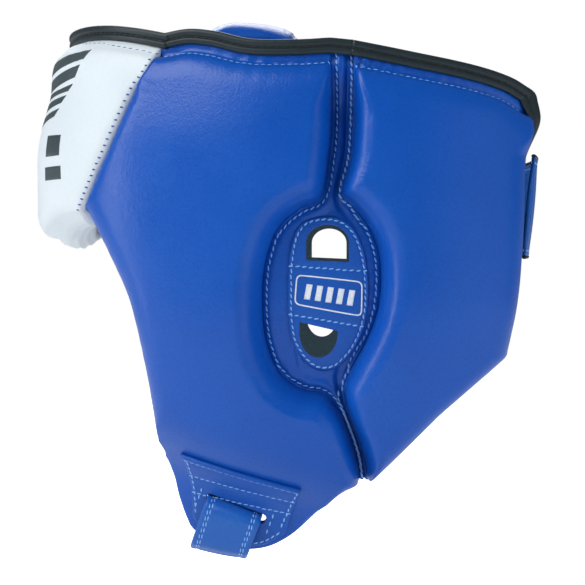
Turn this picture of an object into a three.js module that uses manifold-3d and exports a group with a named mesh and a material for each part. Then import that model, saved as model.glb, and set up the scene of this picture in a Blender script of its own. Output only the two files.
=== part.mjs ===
// Open-face boxing headgear, adult size, as a set of sewn leather panels over foam.
// Millimetres. +Z is up, -Y is the wearer's front and +X the wearer's left.
// The origin is midway between the two ear windows, in the middle of the head.
import * as THREE from "three";
import { mergeVertices } from "three/addons/utils/BufferGeometryUtils.js";
import Module from "manifold-3d";

const wasm = await Module();
wasm.setup();

// ---- Driving dimensions ----

// The lining's own form: its half width, and how far it reaches to the front and back, by height.
const LINING_HALF_WIDTH = [[-125, 51], [-90, 60], [-50, 71], [0, 78], [60, 76], [125, 64]];
const LINING_FRONT = [[-125, 84], [-60, 93], [0, 104], [36, 109.5], [60, 109.5], [91, 103], [125, 102]];
const LINING_BACK = [[-125, 88], [-40, 96], [0, 100], [40, 102], [90, 100], [125, 97]];
const FRONT_SQUARENESS = 2.3;
const BACK_SQUARENESS = 2.4;

// Thicknesses of one padded panel, from the head outwards.
const SIDE_PAD = 20;
const FOREHEAD_PAD = 26;
const LINING = 1.3;
const COVER = 1.4;
const SEAT = 1.6; // where the leather starts above the lining's inner face
const GAP = 0.4; // between pieces that are sewn or pressed together
const FOAM_SLACK = 0.8;

// The pinched rim: the lining flares out and the cover rolls in, and a binding holds both.
const RIM_FLARE = 9;
const RIM_THICKNESS = 5;
const RIM_HOLD = 9;
const RIM_ROLL = 14;
const FLARE_RUN = 20;
const BINDING = 1.4;
const BINDING_LEG = 5.5;

// Webbing and hook-and-loop tape.
const WEBBING = 1.8;
const TAPE = 1;
const CHIN_STRAP_WIDTH = 26;
const REAR_STRAP_WIDTH = 47;
const CROWN_WIDTH = 38;
const CROWN_PAD = 11;
const FLAP_THICKNESS = 5.2; // the chin flap's thin, sewn end
const SLOT = { length: 28.5, height: 4.4, y: -37, z: -94.2, slope: 0.346 };

// Outlines in side view, as [y, z] on the lining.
const SEAM = [[-62.5, 110.5], [-66, 97], [-71.5, 86], [-79, 69.5], [-85, 57], [-90.5, 43], [-94, 35]];
const FACE_EDGE = [[-94, 35], [-85.6, 19], [-77, -1], [-70.6, -29], [-65.3, -66], [-61.6, -90], [-57, -104]];
const SIDE_RIM = [[-62.5, 110.5], [-53, 111.6], [-43, 110], [-29, 106], [-10, 105.3], [4, 106]];
const CHIN_EDGE = [
  [-57, -104], [-48, -109.6], [-35, -111.2], [-24, -110.2], [-14.4, -105.6], [0.4, -92.4],
  [9.4, -84.4], [16.6, -80],
];
const FOLD_FRONT = [
  [4, 106], [4.8, 78], [3.6, 60], [-0.3, 42], [-9, 37.5], [-18, 29.5], [-23.6, 15],
  [-25, -1], [-23.4, -19.5], [-17, -34], [-8, -40.2], [1.5, -42.4], [8.3, -50], [12.6, -60.5],
  [15.6, -71], [16.6, -80],
];
const FOLD_REAR = [
  [13, 105], [13.3, 85], [12.3, 60], [8.6, 43], [13.4, 38.3], [20, 30], [24.4, 19],
  [25.4, 5], [23.6, -8], [19, -19.5], [13.4, -30], [9.8, -38.5], [11.6, -50], [15.6, -60.5],
  [18.6, -71], [19.8, -80.6],
];
const WING_RIM = [[13, 105], [40, 99.4], [62, 95], [75, 91], [82.4, 86.4]];
const WING_REAR = [
  [82.4, 86.4], [84, 79], [84.8, 66], [84.4, 48], [84, 34], [82.8, 18], [80.6, -3], [77.4, -24],
];
const WING_HEM = [[19.8, -80.6], [77.4, -24]];
const EAR_PATCH = {
  top: [[-14, 8], [-13, 20], [-9, 30.5], [-2, 33.8], [6, 33.8], [13, 30], [18, 20], [20.2, 6]],
  bottom: [[-14, -6], [-12.6, -18], [-6.4, -28.2], [0, -31.6], [6, -30.6], [13, -24], [18, -14], [20, -4]],
};
const EAR_HOLES = [
  { y: 2.8, z: 15, width: 18.4, height: 15.6, wall: 8, tilt: 0.4, turn: 0 },
  { y: -1, z: -13.1, width: 16.4, height: 13.6, wall: 3, tilt: 1.9, turn: Math.PI },
];
const CHIN_PATCH = {
  top: [[-56.4, -66.6], [-8.2, -79.8]],
  bottom: [[-55.4, -99.6], [-46, -107.8], [-34, -109.2], [-25, -108.4], [-15.6, -103.8]],
};

// ---- The head form ----

// A smooth function through [x, value] pairs, without overshoot.
function smooth(pairs) {
  const slopes = pairs.map((_, i) => {
    const left = i > 0 ? (pairs[i][1] - pairs[i - 1][1]) / (pairs[i][0] - pairs[i - 1][0]) : null;
    const right =
      i < pairs.length - 1 ? (pairs[i + 1][1] - pairs[i][1]) / (pairs[i + 1][0] - pairs[i][0]) : null;
    if (left === null) return right;
    if (right === null) return left;
    return left * right <= 0 ? 0 : (2 * left * right) / (left + right);
  });
  return (x) => {
    const at = THREE.MathUtils.clamp(x, pairs[0][0], pairs.at(-1)[0]);
    let i = 0;
    while (i < pairs.length - 2 && at > pairs[i + 1][0]) i += 1;
    const step = pairs[i + 1][0] - pairs[i][0];
    const t = (at - pairs[i][0]) / step;
    const [a, b] = [pairs[i][1], pairs[i + 1][1]];
    const rise = t * t * (3 - 2 * t);
    return a + (b - a) * rise + step * t * (1 - t) * ((1 - t) * slopes[i] - t * slopes[i + 1]);
  };
}

const halfWidth = smooth(LINING_HALF_WIDTH);
const frontReach = smooth(LINING_FRONT);
const backReach = smooth(LINING_BACK);

// The left half of the lining, as x over [y, z].
function liningX(y, z) {
  const reach = y < 0 ? frontReach(z) : backReach(z);
  const power = y < 0 ? FRONT_SQUARENESS : BACK_SQUARENESS;
  const ratio = Math.min(Math.abs(y) / reach, 0.9995);
  return halfWidth(z) * (1 - ratio ** power) ** (1 / power);
}

// A point at a height over the lining's left side.
function sideSurface(y, z, height) {
  const step = 0.5;
  const dy = (liningX(y + step, z) - liningX(y - step, z)) / (2 * step);
  const dz = (liningX(y, z + step) - liningX(y, z - step)) / (2 * step);
  const normal = new THREE.Vector3(1, -dy, -dz).normalize();
  return new THREE.Vector3(liningX(y, z), y, z).addScaledVector(normal, height);
}

// The same form round the forehead, where `a` runs round the front, about 100 to the radian.
const FRONT_SCALE = 100;

function frontPoint(a, z) {
  const turn = a / FRONT_SCALE;
  const power = 2 / FRONT_SQUARENESS;
  const x = halfWidth(z) * Math.sign(turn) * Math.abs(Math.sin(turn)) ** power;
  return new THREE.Vector3(x, -frontReach(z) * Math.cos(turn) ** power, z);
}

function frontSurface(a, z, height) {
  const step = 1;
  const across = frontPoint(a + step, z).sub(frontPoint(a - step, z));
  const up = frontPoint(a, z + step).sub(frontPoint(a, z - step));
  return frontPoint(a, z).addScaledVector(across.cross(up).normalize(), height);
}

const frontAngle = (y, z) => FRONT_SCALE * Math.acos((-y / frontReach(z)) ** (FRONT_SQUARENESS / 2));

// ---- Grids ----

const curve = (points) =>
  new THREE.CatmullRomCurve3(points.map(([a, b]) => new THREE.Vector3(a, b, 0)), false, "centripetal");

const straight = (from, to) => curve([from, [(from[0] + to[0]) / 2, (from[1] + to[1]) / 2], to]);

// A grid of [a, b] places between four edge curves; u runs from left to right, v from top to bottom.
function fourSided({ top, bottom, left, right }, us, vs) {
  const corner = (c, t) => c.getPointAt(t);
  return us.map((u) =>
    vs.map((v) => {
      const [l, r] = [left.getPointAt(v), right.getPointAt(v)];
      const [t, b] = [top.getPointAt(u), bottom.getPointAt(u)];
      const ruled = l.clone().lerp(r, u).add(t.clone().lerp(b, v));
      const upper = corner(top, 0).lerp(corner(top, 1), u);
      const lower = corner(bottom, 0).lerp(corner(bottom, 1), u);
      return ruled.sub(upper.lerp(lower, v));
    }),
  );
}

// Grid lines at set distances from both ends of a length, with even steps between.
function lines(length, near, far, between) {
  const start = near.at(-1) / length;
  const end = 1 - far.at(-1) / length;
  const middle = Array.from({ length: between }, (_, i) => start + ((end - start) * (i + 1)) / (between + 1));
  return [...near.map((d) => d / length), ...middle, ...far.map((d) => 1 - d / length).reverse()];
}

// Moves a grid's outermost places inwards by a distance, along its own lines or square to its edge.
function inset(grid, distance, square = false) {
  const [nu, nv] = [grid.length - 1, grid[0].length - 1];
  const at = (i, j) => grid[THREE.MathUtils.clamp(i, 0, nu)][THREE.MathUtils.clamp(j, 0, nv)];
  const inwards = (q, next, before, after) => {
    const towards = next.clone().sub(q);
    const edge = after.clone().sub(before).normalize();
    if (square) towards.addScaledVector(edge, -towards.dot(edge));
    return towards.setLength(distance);
  };
  return grid.map((column, i) =>
    column.map((q, j) => {
      const moved = q.clone();
      if (i === 0) moved.add(inwards(q, at(1, j), at(0, j - 1), at(0, j + 1)));
      if (i === nu) moved.add(inwards(q, at(nu - 1, j), at(nu, j - 1), at(nu, j + 1)));
      if (j === 0) moved.add(inwards(q, at(i, 1), at(i - 1, 0), at(i + 1, 0)));
      if (j === nv) moved.add(inwards(q, at(i, nv - 1), at(i - 1, nv), at(i + 1, nv)));
      return moved;
    }),
  );
}

// The grid's boundary as a loop of [i, j], anticlockwise seen from outside.
function boundary(nu, nv) {
  const loop = [];
  for (let j = 0; j < nv; j += 1) loop.push([0, j]);
  for (let i = 0; i < nu; i += 1) loop.push([i, nv]);
  for (let j = nv; j > 0; j -= 1) loop.push([nu, j]);
  for (let i = nu; i > 0; i -= 1) loop.push([i, 0]);
  return loop;
}

// ---- Solids ----

class Faces {
  constructor() {
    this.places = [];
  }
  quad(a, b, c, d) {
    for (const p of [a, b, c, a, c, d]) this.places.push(p.x, p.y, p.z);
  }
  sheet(points, flipped) {
    for (let i = 0; i + 1 < points.length; i += 1)
      for (let j = 0; j + 1 < points[0].length; j += 1) {
        const [a, b, c, d] = [points[i][j], points[i][j + 1], points[i + 1][j + 1], points[i + 1][j]];
        if (flipped) this.quad(a, d, c, b);
        else this.quad(a, b, c, d);
      }
  }
  band(upper, lower) {
    upper.forEach((p, k) => {
      const next = (k + 1) % upper.length;
      this.quad(p, lower[k], lower[next], upper[next]);
    });
  }
  geometry() {
    const raw = new THREE.BufferGeometry();
    raw.setAttribute("position", new THREE.Float32BufferAttribute(this.places, 3));
    return facingOut(mergeVertices(raw, 1e-3));
  }
}

// A closed geometry with its faces turned outwards.
function facingOut(geometry) {
  const position = geometry.attributes.position;
  const index = geometry.index.array;
  const [a, b, c] = [new THREE.Vector3(), new THREE.Vector3(), new THREE.Vector3()];
  let volume = 0;
  for (let i = 0; i < index.length; i += 3) {
    a.fromBufferAttribute(position, index[i]);
    b.fromBufferAttribute(position, index[i + 1]);
    c.fromBufferAttribute(position, index[i + 2]);
    volume += a.dot(b.cross(c));
  }
  if (volume < 0)
    for (let i = 0; i < index.length; i += 3) [index[i + 1], index[i + 2]] = [index[i + 2], index[i + 1]];
  geometry.computeVertexNormals();
  return geometry;
}

const raise = (grid, surface, height) =>
  grid.map((column, i) => column.map((q, j) => surface(q.x, q.y, height(i, j))));

// A sheet between two layers of points.
function slab(outer, inner) {
  const faces = new Faces();
  faces.sheet(outer, false);
  faces.sheet(inner, true);
  const loop = boundary(outer.length - 1, outer[0].length - 1);
  faces.band(loop.map(([i, j]) => outer[i][j]), loop.map(([i, j]) => inner[i][j]));
  return faces.geometry();
}

// A leather cover: a shell over the foam whose walls come down to the lining.
function cap(outer, outerFoot, innerFoot, inner) {
  const faces = new Faces();
  const loop = boundary(outer.length - 1, outer[0].length - 1);
  const along = (layer) => loop.map(([i, j]) => layer[i][j]);
  faces.sheet(outer, false);
  faces.band(along(outer), along(outerFoot));
  faces.band(along(outerFoot), along(innerFoot));
  faces.band(along(innerFoot), along(inner));
  faces.sheet(inner, true);
  return faces.geometry();
}

// A flat strap along a path of stations { at, across }, with an even width and thickness.
function ribbon(stations, width, thickness, steps) {
  const path = new THREE.CatmullRomCurve3(stations.map((s) => s.at), false, "centripetal");
  const sides = new THREE.CatmullRomCurve3(stations.map((s) => s.across));
  const outer = [[], []];
  const inner = [[], []];
  for (let k = 0; k <= steps; k += 1) {
    const t = k / steps;
    const at = path.getPoint(t);
    const across = sides.getPoint(t).normalize();
    const normal = across.clone().cross(path.getTangent(t)).normalize();
    [-0.5, 0.5].forEach((side, i) => {
      const edge = at.clone().addScaledVector(across, side * width);
      outer[i].push(edge.clone().addScaledVector(normal, thickness / 2));
      inner[i].push(edge.clone().addScaledVector(normal, -thickness / 2));
    });
  }
  return slab(outer, inner);
}

function toSolid(geometry) {
  const bare = geometry.clone();
  bare.deleteAttribute("normal");
  bare.deleteAttribute("uv");
  const merged = mergeVertices(bare, 1e-3);
  return new wasm.Manifold(
    new wasm.Mesh({
      numProp: 3,
      vertProperties: merged.attributes.position.array,
      triVerts: new Uint32Array(merged.index.array),
    }),
  );
}

function subtract(geometry, ...tools) {
  let solid = toSolid(geometry);
  for (const tool of tools) solid = solid.subtract(toSolid(tool));
  const mesh = solid.getMesh();
  const result = new THREE.BufferGeometry();
  result.setAttribute("position", new THREE.Float32BufferAttribute(mesh.vertProperties, 3));
  result.setIndex(new THREE.BufferAttribute(mesh.triVerts, 1));
  result.computeVertexNormals();
  return result;
}

// ---- Padded panels ----

// Thickness at a distance from an edge: `thin` for the hold, then a quarter-round roll up to full.
function roll(distance, { thin, hold = 0, run }, full) {
  const t = THREE.MathUtils.clamp((distance - hold) / run, 0, 1);
  return thin + (full - thin) * Math.sqrt(1 - (1 - t) ** 2);
}

// Base height of the lining below the rim.
function flare(distance, amount) {
  return amount * (1 - THREE.MathUtils.smoothstep(distance, RIM_HOLD, RIM_HOLD + FLARE_RUN));
}

// Distances of a grid place from the four edges, measured along its own lines.
function edgeDistances(grid, i, j) {
  const run = (from, to, at) => {
    let sum = 0;
    for (let k = from; k < to; k += 1) sum += at(k).distanceTo(at(k + 1));
    return sum;
  };
  const row = (k) => grid[k][j];
  const column = (k) => grid[i][k];
  return {
    left: run(0, i, row),
    right: run(i, grid.length - 1, row),
    top: run(0, j, column),
    bottom: run(j, grid[0].length - 1, column),
  };
}

// Lining, foam and cover of a panel. edges(i, j) gives the rolls of the other three edges.
function paddedPanel(grid, surface, { full, rimFlare, edges, limit = () => Infinity }) {
  const base = [];
  const height = [];
  grid.forEach((column, i) => {
    base.push([]);
    height.push([]);
    column.forEach((q, j) => {
      const d = edgeDistances(grid, i, j);
      const foot = flare(d.top, rimFlare);
      const rim = roll(d.top, { thin: rimFlare + RIM_THICKNESS, hold: RIM_HOLD, run: RIM_ROLL }, full(i, j));
      const rolls = edges(i, j, q).map(([side, shape]) => roll(d[side], shape, full(i, j)));
      base[i].push(foot);
      height[i].push(foot + Math.min(rim - foot, limit(q), ...rolls));
    });
  });
  const baseAt = (extra) => (i, j) => base[i][j] + extra;
  const heightAt = (extra) => (i, j) => height[i][j] + extra;
  const wall = inset(grid, COVER);
  const core = inset(grid, COVER + FOAM_SLACK);
  return {
    base,
    height,
    lining: slab(raise(grid, surface, baseAt(LINING)), raise(grid, surface, baseAt(0))),
    foam: slab(raise(core, surface, heightAt(-COVER - FOAM_SLACK)), raise(core, surface, baseAt(SEAT + 0.1))),
    cover: cap(
      raise(grid, surface, heightAt(0)),
      raise(grid, surface, baseAt(SEAT)),
      raise(wall, surface, baseAt(SEAT)),
      raise(wall, surface, heightAt(-COVER)),
    ),
  };
}

// A binding folded over an edge, along stations { q, inward, low, high }.
function binding(stations, surface, leg, clearance = GAP) {
  const outer = [];
  const inner = [];
  for (const { q, inward, low, high } of stations) {
    const place = ([d, h]) => surface(q.x + d * inward.x, q.y + d * inward.y, h);
    const [skinLow, skinHigh] = [low - clearance - BINDING, high + clearance + BINDING];
    const edge = -clearance - BINDING;
    outer.push([[leg, skinHigh], [edge + 0.8, skinHigh], [edge, skinHigh - 1], [edge, skinLow + 1],
      [edge + 0.8, skinLow], [leg, skinLow]].map(place));
    const [faceLow, faceHigh] = [low - clearance, high + clearance];
    inner.push([[leg, faceHigh], [-clearance, faceHigh], [-clearance, high - 0.8], [-clearance, low + 0.8],
      [-clearance, faceLow], [leg, faceLow]].map(place));
  }
  return slab(outer, inner);
}

const side = (i, j) => new THREE.Vector3(i, j, 0);

// ---- Left half: side panel, fold and ear panel, wing ----

const ROWS = [0, 0.033, 0.085, 0.18, 0.27, 0.36, 0.45, 0.54, 0.63, 0.72, 0.84, 0.95, 1];
const SIDE_COLUMNS = lines(80, [0, 4, 11], [0, 4, 11], 2);
const WING_COLUMNS = lines(64, [0, 4, 11], [0, 4, 11], 2);
const FOLD_COLUMNS = [0, 0.25, 0.5, 0.75, 1];

const seam = curve(SEAM);
const frontEdge = new THREE.CurvePath();
frontEdge.add(seam);
frontEdge.add(curve(FACE_EDGE));
const foldFront = curve(FOLD_FRONT);
const foldRear = curve(FOLD_REAR);

const sideGrid = fourSided(
  { top: curve(SIDE_RIM), bottom: curve(CHIN_EDGE), left: frontEdge, right: foldFront }, SIDE_COLUMNS, ROWS);
const wingGrid = fourSided(
  { top: curve(WING_RIM), bottom: straight(...WING_HEM), left: foldRear, right: curve(WING_REAR) },
  WING_COLUMNS, ROWS);
const foldGrid = inset(fourSided(
  { top: straight(FOLD_FRONT[0], FOLD_REAR[0]), bottom: straight(FOLD_FRONT.at(-1), FOLD_REAR.at(-1)),
    left: foldFront, right: foldRear }, FOLD_COLUMNS, ROWS), 1.5 * GAP, true);

// The pad tapers down to the chin flap, so that the patch and the strap's slot are in thin leather.
const FLAP_TAPER = 40;

function flapLimit(q) {
  const above = (q.x - SLOT.y) * Math.sin(SLOT.slope) + (q.y - SLOT.z) * Math.cos(SLOT.slope);
  return THREE.MathUtils.lerp(FLAP_THICKNESS, SIDE_PAD, THREE.MathUtils.smoothstep(above, 0, FLAP_TAPER));
}

const GROOVE = { thin: 4.5, run: 9 };
const FACE_ROLL = { thin: 8, run: 9 };
const SEAM_DIP = { thin: SIDE_PAD - 3, run: 5 };
const HEM_ROLL = { thin: 5.2, run: 10 };
const REAR_ROLL = { thin: 6, hold: 5.4, run: 12 };
const SEAM_END = seam.getLength() / frontEdge.getLength();

const sidePanel = paddedPanel(sideGrid, sideSurface, {
  full: () => SIDE_PAD,
  rimFlare: RIM_FLARE,
  edges: (i, j) => [
    ["left", ROWS[j] < SEAM_END ? SEAM_DIP : FACE_ROLL],
    ["right", GROOVE],
    ["bottom", HEM_ROLL],
  ],
  limit: flapLimit,
});
const wingPanel = paddedPanel(wingGrid, sideSurface, {
  full: () => SIDE_PAD,
  rimFlare: RIM_FLARE,
  edges: () => [["left", GROOVE], ["right", REAR_ROLL], ["bottom", HEM_ROLL]],
});

// The fold and ear panel: one leather layer and one lining layer, thin enough to bend.
const foldBase = (i, j) => flare(edgeDistances(foldGrid, i, j).top, RIM_FLARE);
const foldLayer = (extra) => raise(foldGrid, sideSurface, (i, j) => foldBase(i, j) + extra);
const earPanel = slab(foldLayer(SEAT + COVER), foldLayer(SEAT));
const earLining = slab(foldLayer(LINING), foldLayer(0));

const patchGrid = (outline, us, vs) =>
  fourSided({
    top: curve(outline.top), bottom: curve(outline.bottom),
    left: straight(outline.top[0], outline.bottom[0]),
    right: straight(outline.top.at(-1), outline.bottom.at(-1)),
  }, us, vs);
const even = (count) => Array.from({ length: count + 1 }, (_, i) => i / count);
const flat = (grid, height) => raise(grid, sideSurface, () => height);

const EAR_PATCH_BASE = SEAT + COVER + GAP;
const earPatchGrid = patchGrid(EAR_PATCH, even(10), even(8));
const earPatch = slab(flat(earPatchGrid, EAR_PATCH_BASE + COVER), flat(earPatchGrid, EAR_PATCH_BASE));

// Each ear hole is a D: one straight side, a little tilted, and a round one.
function earHole({ y, z, width, height, wall, tilt, turn }) {
  const shape = new THREE.Shape();
  shape.moveTo(-width / 2, tilt);
  shape.lineTo(width / 2, -tilt);
  shape.lineTo(width / 2, wall);
  shape.absellipse(0, wall, width / 2, height - wall, 0, Math.PI, false);
  const depth = 40;
  const tool = new THREE.ExtrudeGeometry(shape, { depth, bevelEnabled: false, curveSegments: 8 });
  tool.rotateZ(turn);
  tool.rotateX(Math.PI / 2);
  tool.rotateZ(Math.PI / 2);
  tool.translate(halfWidth(0) - depth / 2, y, z);
  return tool;
}
const earHoles = EAR_HOLES.map(earHole);

// The chin patch sits in a seat in the flap, and one slot runs through all of it.
const chinGrid = patchGrid(CHIN_PATCH, even(6), even(4));
const PATCH_THICKNESS = 2;
const onFlap = (grid, extra) => raise(grid, sideSurface, (i, j) => flapLimit(grid[i][j]) + extra);
const chinPatch = slab(onFlap(chinGrid, GAP + PATCH_THICKNESS), onFlap(chinGrid, GAP));
const chinSeatGrid = inset(chinGrid, -0.6);
const chinSeat = slab(flat(chinSeatGrid, SIDE_PAD + 6), onFlap(chinSeatGrid, 0.1));
const slotCut = new THREE.BoxGeometry(40, SLOT.length, SLOT.height);
slotCut.rotateX(-SLOT.slope);
slotCut.translate(sideSurface(SLOT.y, SLOT.z, 4).x, SLOT.y, SLOT.z);

// ---- Bindings ----

function rimStations(grid, panel, indices, column = (i) => [i, 0]) {
  return indices.map((k) => {
    const [i, j] = column(k);
    const next = j === 0 && column(0)[1] === column(1)[1] ? grid[i][j + 1] : grid[i - 1][j];
    return {
      q: grid[i][j],
      inward: next.clone().sub(grid[i][j]).normalize(),
      low: panel.base[i][j],
      high: panel.height[i][j],
    };
  });
}

const foldHeights = {
  base: foldGrid.map((column, i) => column.map((_, j) => foldBase(i, j))),
  height: foldGrid.map((column, i) => column.map((_, j) => foldBase(i, j) + SEAT + COVER)),
};
const range = (from, to) => Array.from({ length: to - from + 1 }, (_, i) => from + i);
const sideRim = rimStations(sideGrid, sidePanel, range(0, SIDE_COLUMNS.length - 1));
const foldRim = rimStations(foldGrid, foldHeights, [1, 2, 3]);
const wingRim = rimStations(wingGrid, wingPanel, range(0, WING_COLUMNS.length - 2));
const WING_LEG = 4.8;
const REAR_LEG = 3;
const wingRear = rimStations(
  wingGrid, wingPanel, range(2, ROWS.length - 2), (j) => [WING_COLUMNS.length - 1, j]);

// ---- Forehead ----

const FOREHEAD_COLUMNS = [-1, -0.94, -0.83, -0.62, -0.41, -0.2, 0, 0.2, 0.41, 0.62, 0.83, 0.94, 1];
const FOREHEAD_ROWS = lines(86, [0, 7, 15], [0, 4, 11], 1);
const RIM_RISE = 9; // the rim stands higher between the seams than at them
const BROW_DROP = 8.5; // and the brow hangs lower
const SEAM_GAP = 0.8;

const foreheadGrid = FOREHEAD_COLUMNS.map((u) =>
  FOREHEAD_ROWS.map((v) => {
    const edge = seam.getPointAt(v);
    const bow = THREE.MathUtils.lerp(1 - u ** 6, Math.cos((Math.PI / 2) * u) ** 2, v);
    const z = edge.y + THREE.MathUtils.lerp(RIM_RISE, -BROW_DROP, v) * bow;
    return side(u * (frontAngle(edge.x, edge.y) - SEAM_GAP), z);
  }),
);
const foreheadFull = (i) => THREE.MathUtils.lerp(SIDE_PAD, FOREHEAD_PAD, 1 - FOREHEAD_COLUMNS[i] ** 2);
const forehead = paddedPanel(foreheadGrid, frontSurface, {
  full: foreheadFull,
  rimFlare: RIM_FLARE,
  edges: (i) => [
    ["left", { thin: foreheadFull(i) - 3, run: 5 }],
    ["right", { thin: foreheadFull(i) - 3, run: 5 }],
    ["bottom", { thin: 17, run: 9 }],
  ],
});
const foreheadRim = rimStations(foreheadGrid, forehead, range(0, FOREHEAD_COLUMNS.length - 1));

// ---- Crown pad: sewn to the left rim, pressed onto a tab on the right rim ----

const CROWN_Y = -31;
const CROWN_PATH = [[65, 106], [59, 109.6], [48, 112.2], [28, 114.2], [0, 115], [-26, 114.2], [-48, 112]];
const crownCurve = curve(CROWN_PATH);
const CROWN_LENGTH = crownCurve.getLength();

// `a` runs along the pad's underside from the root, `b` across it.
function crownSurface(a, b, height) {
  const t = THREE.MathUtils.clamp(a / CROWN_LENGTH, 0, 1);
  const at = crownCurve.getPointAt(t);
  const tangent = crownCurve.getTangentAt(t);
  return new THREE.Vector3(at.x + tangent.y * height, b, at.y - tangent.x * height);
}

const CROWN_COLUMNS = lines(CROWN_LENGTH, [0, 5], [0, 5], 6);
const CROWN_ROWS = lines(CROWN_WIDTH, [0, 4], [0, 4], 2);
const crownGrid = CROWN_COLUMNS.map((u) =>
  CROWN_ROWS.map((v) => side(u * CROWN_LENGTH, CROWN_Y + CROWN_WIDTH * (0.5 - v))));

function crownPanel() {
  const height = (i, j) => {
    const d = edgeDistances(crownGrid, i, j);
    const shape = { thin: 4, run: 9 };
    return Math.min(roll(d.top, shape, CROWN_PAD), roll(d.bottom, shape, CROWN_PAD),
      roll(d.left, shape, CROWN_PAD), roll(d.right, shape, CROWN_PAD));
  };
  const lift = (grid, at) => raise(grid, crownSurface, at);
  const wall = inset(crownGrid, COVER);
  const core = inset(crownGrid, COVER + GAP);
  return {
    lining: slab(lift(crownGrid, () => LINING), lift(crownGrid, () => 0)),
    foam: slab(lift(core, (i, j) => height(i, j) - COVER - 0.3), lift(core, () => SEAT + 0.1)),
    cover: cap(lift(crownGrid, height), lift(crownGrid, () => SEAT), lift(wall, () => SEAT),
      lift(wall, (i, j) => height(i, j) - COVER)),
  };
}
const crown = crownPanel();

const alongY = new THREE.Vector3(0, 1, 0);
const vector = (x, y, z) => new THREE.Vector3(x, y, z);
const crownStrip = (points, drop) =>
  points.map(([x, z]) => ({ at: vector(x, CROWN_Y, z - drop), across: alongY }));
const CROWN_GRIP = [[-14, 114.85], [-26, 114.2], [-37, 113.2], [-46, 112.2]];
const TAB_PATH = [[-71, 101], [-64, 104.6], [-52, 107.2], [-38, 109], [-26, 110], [-12, 110.7]];
const TAB_WIDTH = 32;

// ---- Chin strap ----

// Stations in the strap's own plane: x across the head, and a distance down from the slot.
const strapDown = vector(0, -Math.sin(SLOT.slope), -Math.cos(SLOT.slope));
const strapTwist = 0.14;
function chinStation([x, down]) {
  const at = vector(x, SLOT.y, SLOT.z).addScaledVector(strapDown, down);
  const twist = strapTwist * THREE.MathUtils.clamp(x / 50, -1, 1);
  return { at, across: vector(twist, Math.cos(SLOT.slope), -Math.sin(SLOT.slope)).normalize() };
}
const CHIN_STRAP = [
  [-50.6, 4], [-47.8, 13.4], [-44.4, 17.4], [-36, 18.6], [-18, 19], [0, 19.1], [18, 19], [36, 18.6],
  [44.6, 17.4], [47.6, 13], [50, 4], [53.4, 0.6], [62.6, 0.7], [65.8, 3.6], [63.4, 14], [61, 19], [57.6, 21],
];
const CHIN_TAIL = [[56.2, 21.6], [50, 23.3], [40, 23.7], [24, 24], [4, 24.2]];
const CHIN_TAPE = [[38, 0], [28, 0.2], [10, 0.4]];
const tapeAt = (down) => CHIN_TAPE.map(([x, sag]) => chinStation([x, down + sag]));

// ---- Rear strap: sewn to the left wing's rear edge, pressed onto the right wing ----

const REAR_Z = 39;
const REAR_LEAN = 0.09;
const rearStation = ([x, y, lean = REAR_LEAN]) =>
  ({ at: vector(x, y, REAR_Z), across: vector(0, lean, 1).normalize() });
const REAR_STRAP = [
  [51.6, 95], [40, 97.2], [20, 99.6], [0, 100.2], [-20, 100], [-40, 98.8], [-58, 95.4, 0.06],
  [-74, 89, 0.02], [-84.6, 81, 0.02], [-90.8, 70.4, 0.01], [-95, 60, 0.01], [-98, 50.4, 0],
];

// The loop patch on the right wing and the hook tape under the strap follow the wing.
const gripGrid = patchGrid(
  { top: [[42, 60], [54, 60], [66, 60]], bottom: [[42, 18], [54, 18], [66, 18]] }, even(5), even(4));
const LOOP_BASE = SIDE_PAD + GAP;
const HOOK_BASE = LOOP_BASE + TAPE + GAP;
const loopPatch = slab(flat(gripGrid, LOOP_BASE + TAPE), flat(gripGrid, LOOP_BASE));
const hookGrid = inset(gripGrid, 2);
const hookPatch = slab(flat(hookGrid, HOOK_BASE + TAPE), flat(hookGrid, HOOK_BASE));

// ---- Materials and assembly ----

const leather = (color) => new THREE.MeshStandardMaterial({ color, roughness: 0.42, metalness: 0 });
const BLUE = leather(0x1a52ab);
const BLUE_PATCH = leather(0x1f52a8);
const WHITE = leather(0xe2e9f0);
const TRIM = new THREE.MeshStandardMaterial({ color: 0x30363b, roughness: 0.5, metalness: 0 });
const CLOTH = new THREE.MeshStandardMaterial({ color: 0x2a3a44, roughness: 0.9, metalness: 0 });
const FOAM = new THREE.MeshStandardMaterial({ color: 0xcfcfc8, roughness: 1, metalness: 0 });
const STRAP = new THREE.MeshStandardMaterial({ color: 0x2a5fb2, roughness: 0.55, metalness: 0 });
const FASTENER = new THREE.MeshStandardMaterial({ color: 0x20242a, roughness: 0.95, metalness: 0 });

const headgear = new THREE.Group();

function add(parent, name, geometry, material) {
  const mesh = new THREE.Mesh(geometry, material);
  mesh.name = name;
  parent.add(mesh);
}

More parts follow.
